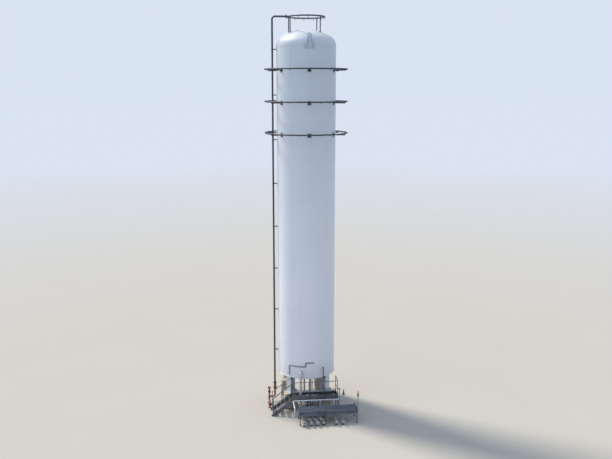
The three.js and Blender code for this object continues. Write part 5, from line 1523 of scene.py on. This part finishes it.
def lamp(name, way, strength, code, spread):
    """A sun that shines one way, its spread in degrees."""
    sun = bpy.data.lights.new(name, "SUN")
    sun.energy = strength
    sun.color = linear(code)[:3]
    sun.angle = math.radians(spread)
    light = bpy.data.objects.new(name, sun)
    light.rotation_mode = "QUATERNION"
    light.rotation_quaternion = Vector(way).to_track_quat("-Z", "Y")
    bpy.context.scene.collection.objects.link(light)


class TANK_OT_stage(bpy.types.Operator):
    """Lays the floor, lights the tank softly and sets the camera where the photograph was taken"""
    bl_idname = "tank.stage"
    bl_label = "Floor, lights and camera"

    def execute(self, context):
        scene, stage = context.scene, context.scene.tank_stage
        bpy.ops.mesh.primitive_circle_add(vertices=96, radius=900, fill_type="NGON", location=(0, 0, -0.002))
        floor = context.object
        floor.name = "floor"
        floor.data.materials.append(studio_floor(stage.floor_colour, stage.far_floor_colour))

        scene.world = bpy.data.worlds.new("studio")
        scene.world.use_nodes = True
        sky = scene.world.node_tree.nodes["Background"]
        sky.inputs[0].default_value = stage.sky_colour
        sky.inputs[1].default_value = stage.sky_strength
        lamp("key", (0.51, -0.43, -0.745), stage.key_strength, "#fff0dc", 12)
        lamp("fill", (0.85, 0.42, -0.3), stage.fill_strength, "#e6edf8", 70)

        camera = bpy.data.objects.new("camera", bpy.data.cameras.new("camera"))
        camera.data.sensor_width = 36
        camera.data.lens = stage.lens
        camera.data.clip_end = 3000
        camera.location = at(stage.camera_across, -stage.camera_away, stage.camera_height)
        camera.rotation_mode = "QUATERNION"
        aim = at(0, 0, stage.aim_height)
        camera.rotation_quaternion = (aim - camera.location).to_track_quat("-Z", "Y")
        scene.collection.objects.link(camera)
        scene.camera = camera
        scene.view_settings.view_transform = "Standard"
        return {"FINISHED"}


# Settings and panel


def length(name, description, default, **limits):
    """A size setting, in metres."""
    return FloatProperty(name=name, description=description, default=default, unit="LENGTH", **limits)


def tint(name, description, code):
    """A colour setting, its default given as an sRGB code."""
    return FloatVectorProperty(name=name, description=description, default=linear(code), size=4, min=0, max=1,
                               subtype="COLOR")


class ShellSettings(bpy.types.PropertyGroup):
    course_height: length("Course height", "Height of one rolled plate", 2.3166, min=0.5)
    weld_bead: length("Weld bead", "Half the width of a shell weld", 0.007, min=0.001)


class SpraySettings(bpy.types.PropertyGroup):
    ring_nozzles: IntProperty(name="Nozzles on a ring", description="Spray nozzles round each large ring",
                              default=24, min=6, max=72)
    crown_nozzles: IntProperty(name="Nozzles on the crown ring",
                               description="Spray nozzles on the small ring", default=12, min=4, max=36)


class GratingSettings(bpy.types.PropertyGroup):
    bar_pitch: length("Bar pitch", "Distance between bearing bars", 0.03, min=0.01)
    rod_pitch: length("Rod pitch", "Distance between cross rods", 0.1, min=0.02)
    bar_thickness: length("Bar thickness", "Thickness of a bearing bar", 0.004, min=0.001)


class FinSettings(bpy.types.PropertyGroup):
    count: IntProperty(name="Fins", description="Fins on each vaporizer tube", default=8, min=4, max=12)
    thickness: length("Fin thickness", "Thickness of a fin", 0.003, min=0.001)


class LookSettings(bpy.types.PropertyGroup):
    shell_colour: tint("Shell paint", "The tank's white paint", "#ccd3df")
    # The lugs are painted a darker white than the shell.
    lug_colour: tint("Lifting lugs", "The lugs' paint, chafed by slings", "#a3b1c1")
    # Near-black: partly weathered zinc, partly painted shade for the shade that the thin pipes stand in.
    pipework_colour: tint("Spray pipework", "The galvanized pipes of the spray water", "#30353f")
    grating_colour: tint("Grating", "The deck's and the treads' grating", "#4c535d")
    platform_colour: tint("Platform paint", "The platform's enamel", "#434a55")
    toe_plate_colour: tint("Back toe plate", "The pale toe plate at the deck's back edge", "#a8adb5")
    fire_water_colour: tint("Fire-water paint", "The red enamel on the fire-water supply", "#6f2429")
    valve_colour: tint("Valve paint", "The dark enamel on valves and stools", "#363b43")
    fin_colour: tint("Fins", "The vaporizer's aluminium", "#7c8694")
    jacket_colour: tint("Pipe jackets", "The aluminium round the cold pipes", "#b6bbc4")
    flange_colour: tint("Cold flanges", "The stainless steel of the cold pipes' flanges", "#a6abb1")
    concrete_colour: tint("Concrete", "The piers' concrete", "#9b968c")
    bolt_colour: tint("Bolts", "Nuts, bolts and jacket bands", "#7f858d")


class StageSettings(bpy.types.PropertyGroup):
    floor_colour: tint("Floor", "The floor round the tank", "#a4a4a1")
    far_floor_colour: tint("Far floor", "The floor far from the tank", "#a6b0be")
    sky_colour: tint("Surroundings", "The light all round", "#d9e3f2")
    sky_strength: FloatProperty(name="Surroundings strength", description="Strength of the light all round",
                                default=1.0, min=0)
    key_strength: FloatProperty(name="Key strength", description="Strength of the main light",
                                default=4.6, min=0)
    fill_strength: FloatProperty(name="Fill strength", description="Strength of the soft light from the left",
                                 default=0.6, min=0)
    lens: FloatProperty(name="Lens", description="Camera focal length in millimetres", default=44, min=10)
    camera_across: length("Camera across", "Camera's place left or right of the tank", -5.33)
    camera_away: length("Camera away", "Camera's distance before the tank's axis", 47.0)
    camera_height: length("Camera height", "Camera's height over the ground", 20.8)
    aim_height: length("Aim height", "Height on the tank's axis that it looks at", 11.6)


class TANK_OT_prepare(bpy.types.Operator):
    """Makes the finishes, the node trees and the small repeated parts that the other steps use"""
    bl_idname = "tank.prepare"
    bl_label = "Finishes and node trees"

    def execute(self, context):
        make_finishes(context.scene.tank_looks, context.scene.tank_shell.course_height)
        TREES.update(pipes=pipe_tree(), bands=band_tree(), bolts=bolt_tree(), grating=grating_tree(),
                     fins=fin_tree(), nozzles=nozzle_tree())
        small_parts()
        return {"FINISHED"}


SETTINGS = {"tank_shell": ShellSettings, "tank_spray": SpraySettings, "tank_grating": GratingSettings,
            "tank_fins": FinSettings, "tank_looks": LookSettings, "tank_stage": StageSettings}
OPERATORS = (TANK_OT_prepare, TANK_OT_shell, TANK_OT_supports, TANK_OT_shell_fittings, TANK_OT_spray_water,
             TANK_OT_platform, TANK_OT_vaporizer, TANK_OT_foot_pipes, TANK_OT_stage)


class TANK_PT_panel(bpy.types.Panel):
    """Lists the tank's steps and settings"""
    bl_label = "Gas tank"
    bl_idname = "TANK_PT_panel"
    bl_space_type = "VIEW_3D"
    bl_region_type = "UI"
    bl_category = "Gas tank"

    def draw(self, context):
        for step in OPERATORS:
            self.layout.operator(step.bl_idname)
        for key in SETTINGS:
            group = getattr(context.scene, key)
            box = self.layout.box()
            for name in group.__annotations__:
                box.prop(group, name)


CLASSES = (*SETTINGS.values(), *OPERATORS, TANK_PT_panel)


def register():
    for kind in CLASSES:
        bpy.utils.register_class(kind)
    for key, group in SETTINGS.items():
        setattr(bpy.types.Scene, key, PointerProperty(type=group))


def unregister():
    for key in SETTINGS:
        delattr(bpy.types.Scene, key)
    for kind in reversed(CLASSES):
        bpy.utils.unregister_class(kind)


def main():
    register()
    for step in ("prepare", "shell", "supports", "shell_fittings", "spray_water", "platform", "vaporizer",
                 "foot_pipes", "stage"):
        getattr(bpy.ops.tank, step)()


if __name__ == "__main__":
    main()
